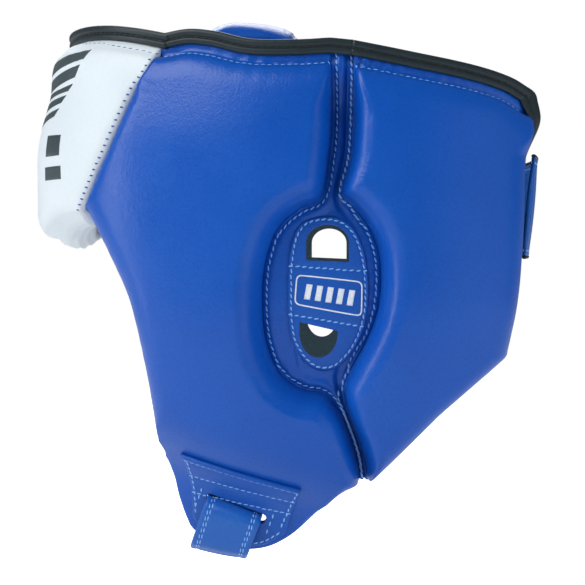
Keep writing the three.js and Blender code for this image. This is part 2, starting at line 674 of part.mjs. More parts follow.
for (const hand of ["left", "right"]) {
  const half = new THREE.Group();
  if (hand === "right") half.scale.x = -1;
  const piece = (name, geometry, material) => add(half, `${name}_${hand}`, geometry, material);
  piece("side_cover", subtract(sidePanel.cover, chinSeat, slotCut), BLUE);
  piece("side_foam", subtract(sidePanel.foam, chinSeat, slotCut), FOAM);
  piece("side_lining", subtract(sidePanel.lining, slotCut), CLOTH);
  piece("wing_cover", wingPanel.cover, BLUE);
  piece("wing_foam", wingPanel.foam, FOAM);
  piece("wing_lining", wingPanel.lining, CLOTH);
  piece("ear_panel", subtract(earPanel, ...earHoles), BLUE);
  piece("ear_lining", subtract(earLining, ...earHoles), CLOTH);
  piece("ear_patch", subtract(earPatch, ...earHoles), BLUE_PATCH);
  piece("chin_patch", subtract(chinPatch, slotCut), BLUE_PATCH);
  piece("rim_binding", binding([...sideRim, ...foldRim], sideSurface, BINDING_LEG), TRIM);
  piece("wing_binding", binding(wingRim, sideSurface, WING_LEG), TRIM);
  piece("rear_binding", binding(wingRear, sideSurface, REAR_LEG, 2 * GAP), TRIM);
  if (hand === "right") {
    piece("rear_loop_patch", loopPatch, FASTENER);
    piece("rear_hook_patch", hookPatch, FASTENER);
  }
  headgear.add(half);
}

add(headgear, "forehead_cover", forehead.cover, WHITE);
add(headgear, "forehead_foam", forehead.foam, FOAM);
add(headgear, "forehead_lining", forehead.lining, CLOTH);
add(headgear, "forehead_binding", binding(foreheadRim, frontSurface, BINDING_LEG), TRIM);

add(headgear, "crown_cover", crown.cover, BLUE);
add(headgear, "crown_foam", crown.foam, FOAM);
add(headgear, "crown_lining", crown.lining, CLOTH);
add(headgear, "crown_hook_tape", ribbon(crownStrip(CROWN_GRIP, 1.1), TAB_WIDTH - 4, TAPE, 5), FASTENER);
add(headgear, "crown_tab", ribbon(crownStrip(TAB_PATH, 0), TAB_WIDTH, WEBBING, 10), STRAP);
add(headgear, "crown_loop_tape", ribbon(crownStrip(CROWN_GRIP, 2.5), TAB_WIDTH - 4, TAPE, 5), FASTENER);

add(headgear, "chin_strap", ribbon(CHIN_STRAP.map(chinStation), CHIN_STRAP_WIDTH, WEBBING, 38), STRAP);
add(headgear, "chin_loop_tape", ribbon(tapeAt(20.6), CHIN_STRAP_WIDTH - 3, TAPE, 6), FASTENER);
add(headgear, "chin_hook_tape", ribbon(tapeAt(22), CHIN_STRAP_WIDTH - 3, TAPE, 6), FASTENER);
add(headgear, "chin_strap_tail", ribbon(CHIN_TAIL.map(chinStation), CHIN_STRAP_WIDTH, WEBBING, 10), STRAP);

add(headgear, "rear_strap", ribbon(REAR_STRAP.map(rearStation), REAR_STRAP_WIDTH, WEBBING, 24), STRAP);

export default headgear;
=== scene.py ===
"""Open-face boxing headgear in blue and white synthetic leather.

Everything is worked out in millimetres on the form of the head and made in metres.
"""
import math

import bmesh
import bpy
import numpy as np
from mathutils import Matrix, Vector
from mathutils.bvhtree import BVHTree


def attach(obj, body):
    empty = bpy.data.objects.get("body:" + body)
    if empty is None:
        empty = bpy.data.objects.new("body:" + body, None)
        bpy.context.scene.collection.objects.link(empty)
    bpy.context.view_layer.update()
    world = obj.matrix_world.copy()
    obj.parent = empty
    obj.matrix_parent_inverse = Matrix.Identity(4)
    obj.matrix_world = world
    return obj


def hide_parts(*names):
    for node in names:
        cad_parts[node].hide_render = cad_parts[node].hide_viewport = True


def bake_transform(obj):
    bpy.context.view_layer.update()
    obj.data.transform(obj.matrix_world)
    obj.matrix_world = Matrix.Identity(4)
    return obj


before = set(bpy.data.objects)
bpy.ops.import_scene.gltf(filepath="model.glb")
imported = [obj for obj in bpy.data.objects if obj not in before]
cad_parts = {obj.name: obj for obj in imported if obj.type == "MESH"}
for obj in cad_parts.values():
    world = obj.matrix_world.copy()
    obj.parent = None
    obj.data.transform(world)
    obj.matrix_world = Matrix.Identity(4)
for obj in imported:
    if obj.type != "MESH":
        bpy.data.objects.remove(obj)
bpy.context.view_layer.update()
scene = bpy.context.scene
scene.view_settings.view_transform = "Standard"
MM = 0.001


# ---- Camera, light and floor ----
# The headgear is seen square on from the wearer's left, a little above its middle, from
# three quarters of a metre. A big soft lamp hangs to the front, with weaker ones behind.

camera = bpy.data.objects.new("camera", bpy.data.cameras.new("camera"))
scene.collection.objects.link(camera)
scene.camera = camera
camera.data.lens = 97.3
camera.data.sensor_width = 36
camera.location = (0.760, 0.00645, 0.0219)
aim = Vector((0, -0.01446, -0.00093)) - camera.location
camera.rotation_euler = aim.to_track_quat("-Z", "Y").to_euler()


def softbox(name, place, target, size, power, shines=True):
    lamp = bpy.data.lights.new(name, "AREA")
    lamp.shape = "RECTANGLE"
    lamp.size, lamp.size_y = size
    lamp.energy = power
    box = bpy.data.objects.new(name, lamp)
    scene.collection.objects.link(box)
    box.visible_camera = False
    box.visible_glossy = shines
    box.location = place
    box.rotation_euler = (Vector(target) - Vector(place)).to_track_quat("-Z", "Y").to_euler()


softbox("key_light", (0.75, -0.85, 1.0), (0, 0, 0.02), (1.0, 0.8), 14)
softbox("front_strip", (0.40, -1.4, 0.30), (0, 0, 0), (0.16, 1.2), 6)
softbox("rear_fill", (0.75, 1.1, 0.3), (0, 0, 0), (1.0, 1.0), 8, shines=False)
softbox("far_fill", (-1.1, -0.2, 0.9), (0, 0, 0), (1.0, 0.8), 9)

world = bpy.data.worlds.new("studio")
scene.world = world
world.use_nodes = True
sky = world.node_tree.nodes
background = sky["Background"]
background.inputs["Color"].default_value = (1, 1, 1, 1)
seen = sky.new("ShaderNodeLightPath")
brightness = sky.new("ShaderNodeMapRange")
brightness.inputs["To Min"].default_value = 0.13
brightness.inputs["To Max"].default_value = 1.0
world.node_tree.links.new(seen.outputs["Is Camera Ray"], brightness.inputs["Value"])
world.node_tree.links.new(brightness.outputs["Result"], background.inputs["Strength"])

FLOOR_Z = -0.19
floor_mesh = bpy.data.meshes.new("floor")
floor_mesh.from_pydata(
    [(-6, -6, FLOOR_Z), (6, -6, FLOOR_Z), (6, 6, FLOOR_Z), (-6, 6, FLOOR_Z)], [], [(0, 1, 2, 3)])
floor = bpy.data.objects.new("floor", floor_mesh)
scene.collection.objects.link(floor)
floor_paint = bpy.data.materials.new("floor_paint")
floor_paint.use_nodes = True
floor_shader = floor_paint.node_tree.nodes["Principled BSDF"]
floor_shader.inputs["Base Color"].default_value = (0.92, 0.93, 0.94, 1)
floor_shader.inputs["Roughness"].default_value = 0.9
floor_shader.inputs["Specular IOR Level"].default_value = 0.1
floor_shader.inputs["Emission Color"].default_value = (1, 1, 1, 1)
glow = floor_paint.node_tree.nodes.new("ShaderNodeMapRange")
glow.inputs["To Min"].default_value = 0.20
glow.inputs["To Max"].default_value = 0.95
looked_at = floor_paint.node_tree.nodes.new("ShaderNodeLightPath")
floor_paint.node_tree.links.new(looked_at.outputs["Is Camera Ray"], glow.inputs["Value"])
floor_paint.node_tree.links.new(glow.outputs["Result"], floor_shader.inputs["Emission Strength"])
floor_mesh.materials.append(floor_paint)


# ---- Leather, lining and thread ----
# The shell is synthetic leather with a fine pebbled print. The grain and the slow change of
# tone that comes from handling are made once and used by every finish.

def new_group(name, sockets):
    group = bpy.data.node_groups.new(name, "ShaderNodeTree")
    for label, way, kind, value in sockets:
        socket = group.interface.new_socket(label, in_out=way, socket_type=kind)
        if value is not None:
            socket.default_value = value
    return group, group.nodes.new("NodeGroupInput"), group.nodes.new("NodeGroupOutput")


def math_node(nodes, links, operation, first, second):
    node = nodes.new("ShaderNodeMath")
    node.operation = operation
    for socket, value in zip(node.inputs, (first, second)):
        if hasattr(value, "is_linked"):
            links.new(value, socket)
        else:
            socket.default_value = value
    return node.outputs[0]


# Pebble grain: rounded cells with soft valleys, over a slower swell of the sheet.
grain, grain_in, grain_out = new_group("Pebble grain", [
    ("Cells", "INPUT", "NodeSocketFloat", 1300.0), ("Swell", "INPUT", "NodeSocketFloat", 60.0),
    ("Height", "OUTPUT", "NodeSocketFloat", None), ("Valleys", "OUTPUT", "NodeSocketFloat", None)])
nodes, links = grain.nodes, grain.links
spot = nodes.new("ShaderNodeTexCoord")
bend = nodes.new("ShaderNodeTexNoise")
links.new(spot.outputs["Object"], bend.inputs["Vector"])
bend.inputs["Scale"].default_value = 420
bend.inputs["Detail"].default_value = 2
cells = nodes.new("ShaderNodeTexVoronoi")
cells.feature = "SMOOTH_F1"
cells.inputs["Smoothness"].default_value = 0.6
links.new(spot.outputs["Object"], cells.inputs["Vector"])
links.new(grain_in.outputs["Cells"], cells.inputs["Scale"])
slow = nodes.new("ShaderNodeTexNoise")
links.new(spot.outputs["Object"], slow.inputs["Vector"])
links.new(grain_in.outputs["Swell"], slow.inputs["Scale"])
slow.inputs["Detail"].default_value = 3
valley = math_node(nodes, links, "SUBTRACT", 1.0, cells.outputs["Distance"])
print_height = math_node(nodes, links, "MULTIPLY", valley, bend.outputs["Fac"])
swell_height = math_node(nodes, links, "MULTIPLY", slow.outputs["Fac"], 1.6)
links.new(math_node(nodes, links, "ADD", print_height, swell_height), grain_out.inputs["Height"])
links.new(cells.outputs["Distance"], grain_out.inputs["Valleys"])

# Handling: broad, faint patches where the finish is a little duller and a little paler.
handling, handling_in, handling_out = new_group("Handling", [
    ("Patch size", "INPUT", "NodeSocketFloat", 18.0), ("Tone", "OUTPUT", "NodeSocketFloat", None),
    ("Dullness", "OUTPUT", "NodeSocketFloat", None)])
nodes, links = handling.nodes, handling.links
spot = nodes.new("ShaderNodeTexCoord")
broad = nodes.new("ShaderNodeTexNoise")
links.new(spot.outputs["Object"], broad.inputs["Vector"])
links.new(handling_in.outputs["Patch size"], broad.inputs["Scale"])
broad.inputs["Detail"].default_value = 4
fine = nodes.new("ShaderNodeTexNoise")
links.new(spot.outputs["Object"], fine.inputs["Vector"])
fine.inputs["Scale"].default_value = 260
fine.inputs["Detail"].default_value = 3
tone = nodes.new("ShaderNodeMapRange")
tone.inputs["From Min"].default_value = 0.35
tone.inputs["From Max"].default_value = 0.68
links.new(broad.outputs["Fac"], tone.inputs["Value"])
links.new(tone.outputs["Result"], handling_out.inputs["Tone"])
fleck = math_node(nodes, links, "MULTIPLY", fine.outputs["Fac"], tone.outputs["Result"])
links.new(fleck, handling_out.inputs["Dullness"])


def leather(name, deep, pale, roughness, depth=0.0002, cells=1080.0, gloss=0.34, pore=0.22):
    """Synthetic leather between two tones, with its grain, and wear that dulls it in patches."""
    material = bpy.data.materials.new(name)
    material.use_nodes = True
    nodes, links = material.node_tree.nodes, material.node_tree.links
    shader = nodes["Principled BSDF"]
    shader.inputs["Specular IOR Level"].default_value = gloss
    hide = nodes.new("ShaderNodeGroup")
    hide.node_tree = grain
    hide.inputs["Cells"].default_value = cells
    worn = nodes.new("ShaderNodeGroup")
    worn.node_tree = handling
    dye = nodes.new("ShaderNodeMix")
    dye.data_type = "RGBA"
    links.new(worn.outputs["Tone"], dye.inputs["Factor"])
    dye.inputs["A"].default_value = (*deep, 1)
    dye.inputs["B"].default_value = (*pale, 1)
    pores = nodes.new("ShaderNodeMix")
    pores.data_type = "RGBA"
    pores.blend_type = "MULTIPLY"
    settle = nodes.new("ShaderNodeMapRange")
    settle.inputs["From Min"].default_value = 0.35
    settle.inputs["From Max"].default_value = 0.75
    settle.inputs["To Max"].default_value = pore
    links.new(hide.outputs["Valleys"], settle.inputs["Value"])
    links.new(settle.outputs["Result"], pores.inputs["Factor"])
    links.new(dye.outputs["Result"], pores.inputs["A"])
    pores.inputs["B"].default_value = (0.45, 0.5, 0.6, 1)
    links.new(pores.outputs["Result"], shader.inputs["Base Color"])
    matte = nodes.new("ShaderNodeMapRange")
    matte.inputs["To Min"].default_value = roughness - 0.05
    matte.inputs["To Max"].default_value = roughness + 0.12
    links.new(worn.outputs["Dullness"], matte.inputs["Value"])
    links.new(matte.outputs["Result"], shader.inputs["Roughness"])
    bump = nodes.new("ShaderNodeBump")
    bump.inputs["Strength"].default_value = 0.65
    bump.inputs["Distance"].default_value = depth
    links.new(hide.outputs["Height"], bump.inputs["Height"])
    links.new(bump.outputs["Normal"], shader.inputs["Normal"])
    return material


def woven(name, deep, pale, pitch, depth=0.0002, roughness=0.9):
    """Cloth: two crossed waves of yarn, with fuzz."""
    material = bpy.data.materials.new(name)
    material.use_nodes = True
    nodes, links = material.node_tree.nodes, material.node_tree.links
    shader = nodes["Principled BSDF"]
    shader.inputs["Roughness"].default_value = roughness
    shader.inputs["Specular IOR Level"].default_value = 0.25
    shader.inputs["Sheen Weight"].default_value = 0.25
    spot = nodes.new("ShaderNodeTexCoord")
    yarns = []
    for direction in ("Y", "Z"):
        yarn = nodes.new("ShaderNodeTexWave")
        yarn.bands_direction = direction
        yarn.inputs["Scale"].default_value = 1 / (pitch * MM * 20 / math.pi)
        yarn.inputs["Distortion"].default_value = 1.5
        yarn.inputs["Detail"].default_value = 1
        links.new(spot.outputs["Object"], yarn.inputs["Vector"])
        yarns.append(yarn.outputs["Fac"])
    weave = math_node(nodes, links, "MULTIPLY", *yarns)
    fuzz = nodes.new("ShaderNodeTexNoise")
    links.new(spot.outputs["Object"], fuzz.inputs["Vector"])
    fuzz.inputs["Scale"].default_value = 900
    nap = math_node(nodes, links, "ADD", weave, fuzz.outputs["Fac"])
    dye = nodes.new("ShaderNodeMix")
    dye.data_type = "RGBA"
    links.new(fuzz.outputs["Fac"], dye.inputs["Factor"])
    dye.inputs["A"].default_value = (*deep, 1)
    dye.inputs["B"].default_value = (*pale, 1)
    links.new(dye.outputs["Result"], shader.inputs["Base Color"])
    bump = nodes.new("ShaderNodeBump")
    bump.inputs["Strength"].default_value = 0.7
    bump.inputs["Distance"].default_value = depth
    links.new(nap, bump.inputs["Height"])
    links.new(bump.outputs["Normal"], shader.inputs["Normal"])
    return material


BLUE_LEATHER = leather("blue_leather", (0.0026, 0.076, 0.425), (0.0038, 0.090, 0.470), 0.33)
PATCH_LEATHER = leather("patch_leather", (0.0032, 0.078, 0.415), (0.0048, 0.092, 0.455), 0.44)
STRAP_LEATHER = leather("strap_leather", (0.009, 0.100, 0.430), (0.015, 0.118, 0.470), 0.34)
WHITE_LEATHER = leather("white_leather", (0.64, 0.72, 0.78), (0.68, 0.75, 0.80), 0.46, 0.00004,
                        pore=0.06)
BLACK_PIPING = leather("black_piping", (0.013, 0.024, 0.030), (0.022, 0.036, 0.044), 0.42,
                       0.00006, gloss=0.3)
LINING_CLOTH = woven("lining_cloth", (0.022, 0.045, 0.062), (0.045, 0.080, 0.100), 0.7)
HOOK_AND_LOOP = woven("hook_and_loop", (0.008, 0.009, 0.011), (0.022, 0.024, 0.028), 1.1, 0.0006,
                      0.98)
BLUE_THREAD = woven("blue_thread", (0.16, 0.38, 0.80), (0.28, 0.54, 0.94), 0.25, 0.00006, 0.6)
NAVY_THREAD = woven("navy_thread", (0.018, 0.075, 0.30), (0.03, 0.11, 0.38), 0.25, 0.00006, 0.6)
BLACK_THREAD = woven("black_thread", (0.006, 0.007, 0.008), (0.02, 0.022, 0.024), 0.25, 0.00006,
                     0.6)
CHARCOAL_PRINT = leather("charcoal_print", (0.034, 0.054, 0.062), (0.058, 0.084, 0.092), 0.5,
                         0.00004)
WHITE_PRINT = leather("white_print", (0.72, 0.80, 0.90), (0.80, 0.86, 0.93), 0.5, 0.00006)
# Painted highlight: the pale colour of the strip down each wing's rear edge, in place of the sheen
# on its rolled edge.
EDGE_HIGHLIGHT_PAINT = leather("painted_edge_highlight", (0.30, 0.42, 0.55), (0.42, 0.54, 0.66), 0.5, 0.00005)


# ---- Side pads ----
# The two front panels: closed-cell foam under leather, from the brow down to the chin flap.
# The leather is sewn flat at the rim and rolls down to the face opening, the fold behind
# it and the oval ear recess. Each is laid out on the form of the head, as [y, z] in mm.

def smooth(pairs):
    """A smooth function through (x, value) pairs that never overshoots them."""
    xs, ys = np.array(pairs, float).T
    slope = np.diff(ys) / np.diff(xs)
    meet = np.where(slope[:-1] * slope[1:] > 0,
                    2 * slope[:-1] * slope[1:] / (slope[:-1] + slope[1:] + 1e-12), 0)
    tilt = np.concatenate([slope[:1], meet, slope[-1:]])

    def value(x):
        x = np.clip(x, xs[0], xs[-1])
        i = np.clip(np.searchsorted(xs, x, side="right") - 1, 0, len(xs) - 2)
        step = xs[i + 1] - xs[i]
        t = (x - xs[i]) / step
        rise = t * t * (3 - 2 * t)
        ease = (1 - t) * tilt[i] - t * tilt[i + 1]
        return ys[i] + (ys[i + 1] - ys[i]) * rise + step * t * (1 - t) * ease
    return value


half_width = smooth([(-125, 51), (-90, 60), (-50, 71), (0, 78), (60, 76), (125, 64)])
front_reach = smooth([(-125, 84), (-60, 93), (0, 104), (36, 109.5), (60, 109.5), (91, 103),
                      (125, 102)])
back_reach = smooth([(-125, 88), (-40, 96), (0, 100), (40, 102), (90, 100), (125, 97)])
FRONT_SQUARE, BACK_SQUARE = 2.3, 2.4


def head_x(y, z):
    reach = np.where(y < 0, front_reach(z), back_reach(z))
    power = np.where(y < 0, FRONT_SQUARE, BACK_SQUARE)
    ratio = np.minimum(np.abs(y) / reach, 0.9995)
    return half_width(z) * (1 - ratio ** power) ** (1 / power)


def side_form(places, height):
    """Points at a height over the wearer's left side of the head form."""
    y, z = places[..., 0], places[..., 1]
    slope_y = head_x(y + 0.5, z) - head_x(y - 0.5, z)
    slope_z = head_x(y, z + 0.5) - head_x(y, z - 0.5)
    normal = np.stack([np.ones_like(y), -slope_y, -slope_z], -1)
    normal /= np.linalg.norm(normal, axis=-1, keepdims=True)
    return np.stack([head_x(y, z), y, z], -1) + normal * np.asarray(height)[..., None]


def trace(points, fineness=24):
    """A smooth dense line through a few points."""
    p = np.array(points, float)
    p = np.vstack([2 * p[0] - p[1], p, 2 * p[-1] - p[-2]])
    t = np.linspace(0, 1, fineness, endpoint=False)[:, None]
    parts = []
    for a, b, c, d in zip(p[:-3], p[1:-2], p[2:-1], p[3:]):
        t0, t1, t2 = (max(np.linalg.norm(v) ** 0.5, 1e-6) for v in (b - a, c - b, d - c))
        leave = ((b - a) / t0 - (c - a) / (t0 + t1) + (c - b) / t1) * t1
        arrive = ((c - b) / t1 - (d - b) / (t1 + t2) + (d - c) / t2) * t1
        parts.append((2 * t**3 - 3 * t**2 + 1) * b + (t**3 - 2 * t**2 + t) * leave
                     + (3 * t**2 - 2 * t**3) * c + (t**3 - t**2) * arrive)
    return np.vstack([*parts, p[-2:-1]])


def joined(*parts):
    return np.vstack([parts[0], *(part[1:] for part in parts[1:])])


def run_of(line):
    return np.concatenate([[0], np.cumsum(np.linalg.norm(np.diff(line, axis=0), axis=1))])


def along(line, share):
    """Places at shares, 0 to 1, of a line's length."""
    run = run_of(line)
    return np.stack([np.interp(np.asarray(share) * run[-1], run, c) for c in line.T], -1)


def laid_out(top, bottom, left, right, across, down):
    """A grid of places between four edge lines, each running rightwards or downwards."""
    u, v = np.asarray(across)[:, None, None], np.asarray(down)[None, :, None]
    upper, lower = along(top, across)[:, None], along(bottom, across)[:, None]
    near, far = along(left, down)[None], along(right, down)[None]
    corners = ((1 - u) * (1 - v) * top[0] + u * (1 - v) * top[-1]
               + (1 - u) * v * bottom[0] + u * v * bottom[-1])
    return near * (1 - u) + far * u + upper * (1 - v) + lower * v - corners


def reach_of(places, line):
    """Each place's distance from a line, and how far along the line its nearest point is."""
    flat = places.reshape(-1, 2)
    start, step = line[:-1], np.diff(line, axis=0)
    square = np.maximum((step ** 2).sum(-1), 1e-9)
    run = run_of(line)
    best, where = np.empty(len(flat)), np.empty(len(flat))
    for k in range(0, len(flat), 2000):
        away = flat[k:k + 2000, None] - start[None]
        t = np.clip((away * step).sum(-1) / square, 0, 1)
        gap = np.linalg.norm(away - t[..., None] * step, axis=-1)
        nearest = gap.argmin(1)
        rows = np.arange(len(nearest))
        best[k:k + 2000] = gap[rows, nearest]
        where[k:k + 2000] = run[nearest] + t[rows, nearest] * (run[nearest + 1] - run[nearest])
    return best.reshape(places.shape[:-1]), where.reshape(places.shape[:-1])


def rolled(distance, thin, run, full, hold=0.0):
    """Thickness at a distance from an edge: thin at the edge, then a round shoulder."""
    t = np.clip((distance - hold) / run, 0, 1)
    return thin + (full - thin) * np.sqrt(1 - (1 - t) ** 2)


def blended(full, *rolls):
    """The lowest of several rolls, with soft corners where two of them meet."""
    drop = sum(np.maximum(full - r, 0) ** 5 for r in rolls) ** 0.2
    return full - drop


def rise(t):
    t = np.clip(t, 0, 1)
    return t * t * (3 - 2 * t)


def ripple(along_edge, distance, pitch, reach, seed):
    """Puckers that run away from a stitch line, uneven in size, within a reach of it."""
    wave = np.sin(2 * np.pi * along_edge / pitch + 1.3 * np.sin(along_edge / 7.3 + seed))
    uneven = 0.5 + 0.5 * np.sin(along_edge / 4.1 + 2.1 * seed) * np.sin(along_edge / 9.7 + seed)
    return wave * uneven * np.exp(-distance / reach)


def new_piece(name, points, faces, *materials):
    mesh = bpy.data.meshes.new(name)
    mesh.from_pydata((np.asarray(points) * MM).tolist(), [], faces)
    mesh.validate()
    mesh.polygons.foreach_set("use_smooth", [True] * len(mesh.polygons))
    for material in materials:
        mesh.materials.append(material)
    piece = bpy.data.objects.new(name, mesh)
    scene.collection.objects.link(piece)
    return piece


def rim_loop(columns, rows):
    """The grid's border as index pairs, once round."""
    return ([(0, j) for j in range(rows - 1)] + [(i, rows - 1) for i in range(columns - 1)]
            + [(columns - 1, j) for j in range(rows - 1, 0, -1)]
            + [(i, 0) for i in range(columns - 1, 0, -1)])


def closed(name, outer, inner, walls, *materials):
    """A solid piece from an outer and an inner grid, and loops of wall points between."""
    columns, rows = outer.shape[:2]
    number = np.arange(columns * rows).reshape(columns, rows)
    a, b, c, d = number[:-1, :-1], number[:-1, 1:], number[1:, 1:], number[1:, :-1]
    quads = np.stack([a, b, c, d], -1).reshape(-1, 4)
    border = [number[ij] for ij in rim_loop(columns, rows)]
    rings, points, base = [border], [outer.reshape(-1, 3)], columns * rows
    for wall in walls:
        rings.append(list(range(base, base + len(border))))
        points.append(wall)
        base += len(border)
    rings.append([base + k for k in border])
    points.append(inner.reshape(-1, 3))
    faces = quads.tolist() + (quads[:, ::-1] + base).tolist()
    for upper, lower in zip(rings[:-1], rings[1:]):
        for k in range(len(border)):
            n = (k + 1) % len(border)
            faces.append((upper[k], lower[k], lower[n], upper[n]))
    return new_piece(name, np.vstack(points), faces, *materials)


def outwards(grid):
    """Which way is out of the grid at each border place, in the order of rim_loop."""
    columns, rows = grid.shape[:2]
    ways = []
    for i, j in rim_loop(columns, rows):
        inside = grid[min(max(i, 1), columns - 2), min(max(j, 1), rows - 2)]
        way = grid[i, j] - inside
        ways.append(way / (np.linalg.norm(way) + 1e-9))
    return np.array(ways)


def border_of(values):
    return np.array([values[ij] for ij in rim_loop(*values.shape[:2])])


def swelling(points, sewn, limit, push=3.0, steps=14):
    """How leather sewn at its edge swells over its foam: a cloth run, as moves in mm."""
    coarse, held = points[::2, ::2], sewn[::2, ::2]
    columns, rows = held.shape
    number = np.arange(columns * rows).reshape(columns, rows)
    quads = np.stack([number[:-1, :-1], number[:-1, 1:], number[1:, 1:], number[1:, :-1]], -1)
    hide = new_piece("hide_in_making", coarse.reshape(-1, 3), quads.reshape(-1, 4).tolist())
    group = hide.vertex_groups.new(name="sewn")
    group.add([int(k) for k in number[held]], 1.0, "REPLACE")
    cloth = hide.modifiers.new("cloth", "CLOTH")
    cloth.settings.quality = 4
    cloth.settings.mass = 0.3
    cloth.settings.tension_stiffness = 25
    cloth.settings.compression_stiffness = 25
    cloth.settings.bending_stiffness = 2.0
    cloth.settings.vertex_group_mass = "sewn"
    cloth.settings.effector_weights.gravity = 0
    cloth.settings.use_pressure = True
    cloth.settings.uniform_pressure_force = push
    cloth.collision_settings.use_collision = False
    cloth.point_cache.frame_start, cloth.point_cache.frame_end = 1, steps
    for step in range(1, steps + 1):
        scene.frame_set(step)
    shaped = hide.evaluated_get(bpy.context.evaluated_depsgraph_get())
    place = np.empty(len(hide.data.vertices) * 3)
    shaped.data.vertices.foreach_get("co", place)
    move = place.reshape(columns, rows, 3) / MM - coarse
    size = np.linalg.norm(move, axis=-1, keepdims=True)
    move = np.nan_to_num(move * np.minimum(1, limit / np.maximum(size, 1e-6)))
    scene.frame_set(1)
    bpy.data.objects.remove(hide)
    for axis, count in ((0, points.shape[0]), (1, points.shape[1])):
        at = np.linspace(0, move.shape[axis] - 1, count)
        low = np.minimum(at.astype(int), move.shape[axis] - 2)
        part = (at - low).reshape([-1 if k == axis else 1 for k in range(3)])
        move = np.take(move, low, axis) * (1 - part) + np.take(move, low + 1, axis) * part
    return move


def surface_tree(piece):
    mesh = piece.data
    return BVHTree.FromPolygons([v.co for v in mesh.vertices],
                                [p.vertices[:] for p in mesh.polygons])


def settled(points, tree, lift=0.0):
    """Points in mm dropped onto a made surface, with the surface's own normals."""
    down, normals = [], []
    for p in np.asarray(points).reshape(-1, 3):
        place, normal, _, _ = tree.find_nearest(Vector(p * MM))
        down.append(np.array(place) / MM + np.array(normal) * lift)
        normals.append(np.array(normal))
    return np.array(down), np.array(normals)


def mirrored(piece, name):
    """The same piece for the wearer's right side."""
    mesh = piece.data.copy()
    mesh.name = name
    mesh.transform(((-1, 0, 0, 0), (0, 1, 0, 0), (0, 0, 1, 0), (0, 0, 0, 1)))
    mesh.flip_normals()
    twin = bpy.data.objects.new(name, mesh)
    scene.collection.objects.link(twin)
    return twin


SEAM = trace([[-62.5, 110.5], [-66, 97], [-71.5, 86], [-79, 69.5], [-85, 57], [-90.5, 43],
              [-94, 35]])
FACE_EDGE = trace([[-94, 35], [-85.6, 19], [-77, -1], [-70.6, -29], [-65.3, -66], [-61.6, -90],
                   [-57, -104]])
SIDE_RIM = trace([[-62.5, 110.5], [-53, 111.6], [-43, 110], [-29, 106], [-10, 105.3], [4, 106]])
CHIN_EDGE = trace([[-57, -104], [-48, -111], [-35, -113], [-24, -111.6], [-14, -106.2],
                   [0.4, -92.4], [9.4, -83.8], [16.6, -80]])
FOLD_FRONT = trace([[4, 106], [4.8, 78], [3.6, 60], [-0.3, 42], [-9, 37.5], [-18, 29.5],
                    [-23.6, 15], [-25, -1], [-23.4, -19.5], [-17, -34], [-8, -40.2],
                    [1.5, -42.4], [8.3, -50], [12.6, -60.5], [15.6, -71], [16.6, -80]])
SLOT = {"length": 28.5, "height": 4.4, "place": np.array([-37, -94.2]), "slope": 0.346}

PAD = 20.0
FLARE, RIM_THICK, STITCH_LINE = 9.0, 5.0, 9.0
LINING_TOP = 1.3


def flare_at(from_rim):
    """How far the lining stands off the head near the rim."""
    return FLARE * (1 - rise((from_rim - STITCH_LINE) / 20))


def flap_thickness(places):
    """The pad tapers down to thin leather where the chin patch and the strap's slot are."""
    above = ((places - SLOT["place"]) * [math.sin(SLOT["slope"]), math.cos(SLOT["slope"])]).sum(-1)
    return 5.2 + (PAD - 5.2) * rise(above / 40)


def side_relief(places):
    """Base, height and fine relief of the front side pad at places on the head form."""
    rim, rim_run = reach_of(places, SIDE_RIM)
    seam, seam_run = reach_of(places, SEAM)
    face, face_run = reach_of(places, FACE_EDGE)
    chin, _ = reach_of(places, CHIN_EDGE)
    fold, fold_run = reach_of(places, FOLD_FRONT)
    base = flare_at(rim)
    height = base + blended(
        PAD, rolled(rim, FLARE + RIM_THICK, 13, PAD, STITCH_LINE) - base,
        rolled(seam, PAD - 2.4, 5, PAD),
        rolled(face, 9, 11, PAD), rolled(fold, 3.3, 9, PAD), rolled(chin, 5.2, 10, PAD))
    height = np.minimum(height, flap_thickness(places) + 0 * height)
    height = np.maximum(height, base + 3.3)
    height = height - 1.1 * np.exp(-((rim - STITCH_LINE) / 1.3) ** 2)
    away = np.maximum(rim - STITCH_LINE, 0)
    height = height + 0.30 * ripple(rim_run, away, 6.5, 4.0, 1.0) * (rim > STITCH_LINE - 3)
    height = height + 0.22 * ripple(seam_run, seam, 5.5, 3.0, 2.0)
    height = height + 0.20 * ripple(fold_run, fold, 7.0, 5.0, 3.0) * rise(fold / 2)
    height = height + 0.12 * ripple(face_run, face, 9.0, 6.0, 4.0)
    return base, height


def make_pad(name, grid, form, base, height, bulge, swell_limit, material, sewn_width=3):
    """A padded panel: leather outside, a rolled wall, and its back just over the lining."""
    outer = form(grid, height)
    sewn = np.zeros(grid.shape[:2], bool)
    sewn[:sewn_width], sewn[-sewn_width:] = True, True
    sewn[:, :sewn_width], sewn[:, -sewn_width:] = True, True
    sewn |= height < base + 9
    outer = outer + swelling(outer, sewn, swell_limit)
    back = form(grid, base + LINING_TOP + 0.1)
    edge, way = border_of(grid), outwards(grid)
    top, foot = border_of(height), border_of(base) + LINING_TOP + 0.1
    walls = []
    for share, push in ((0.12, 0.55), (0.32, 0.9), (0.55, 1.0), (0.78, 0.8), (0.93, 0.4)):
        walls.append(form(edge + way * (bulge * push)[:, None], top + (foot - top) * share))
    return closed(name, outer, back, walls, material)


def make_liner(name, grid, form, base, material):
    outer = form(grid, base + LINING_TOP)
    inner = form(grid, base)
    return closed(name, outer, inner, [], material)


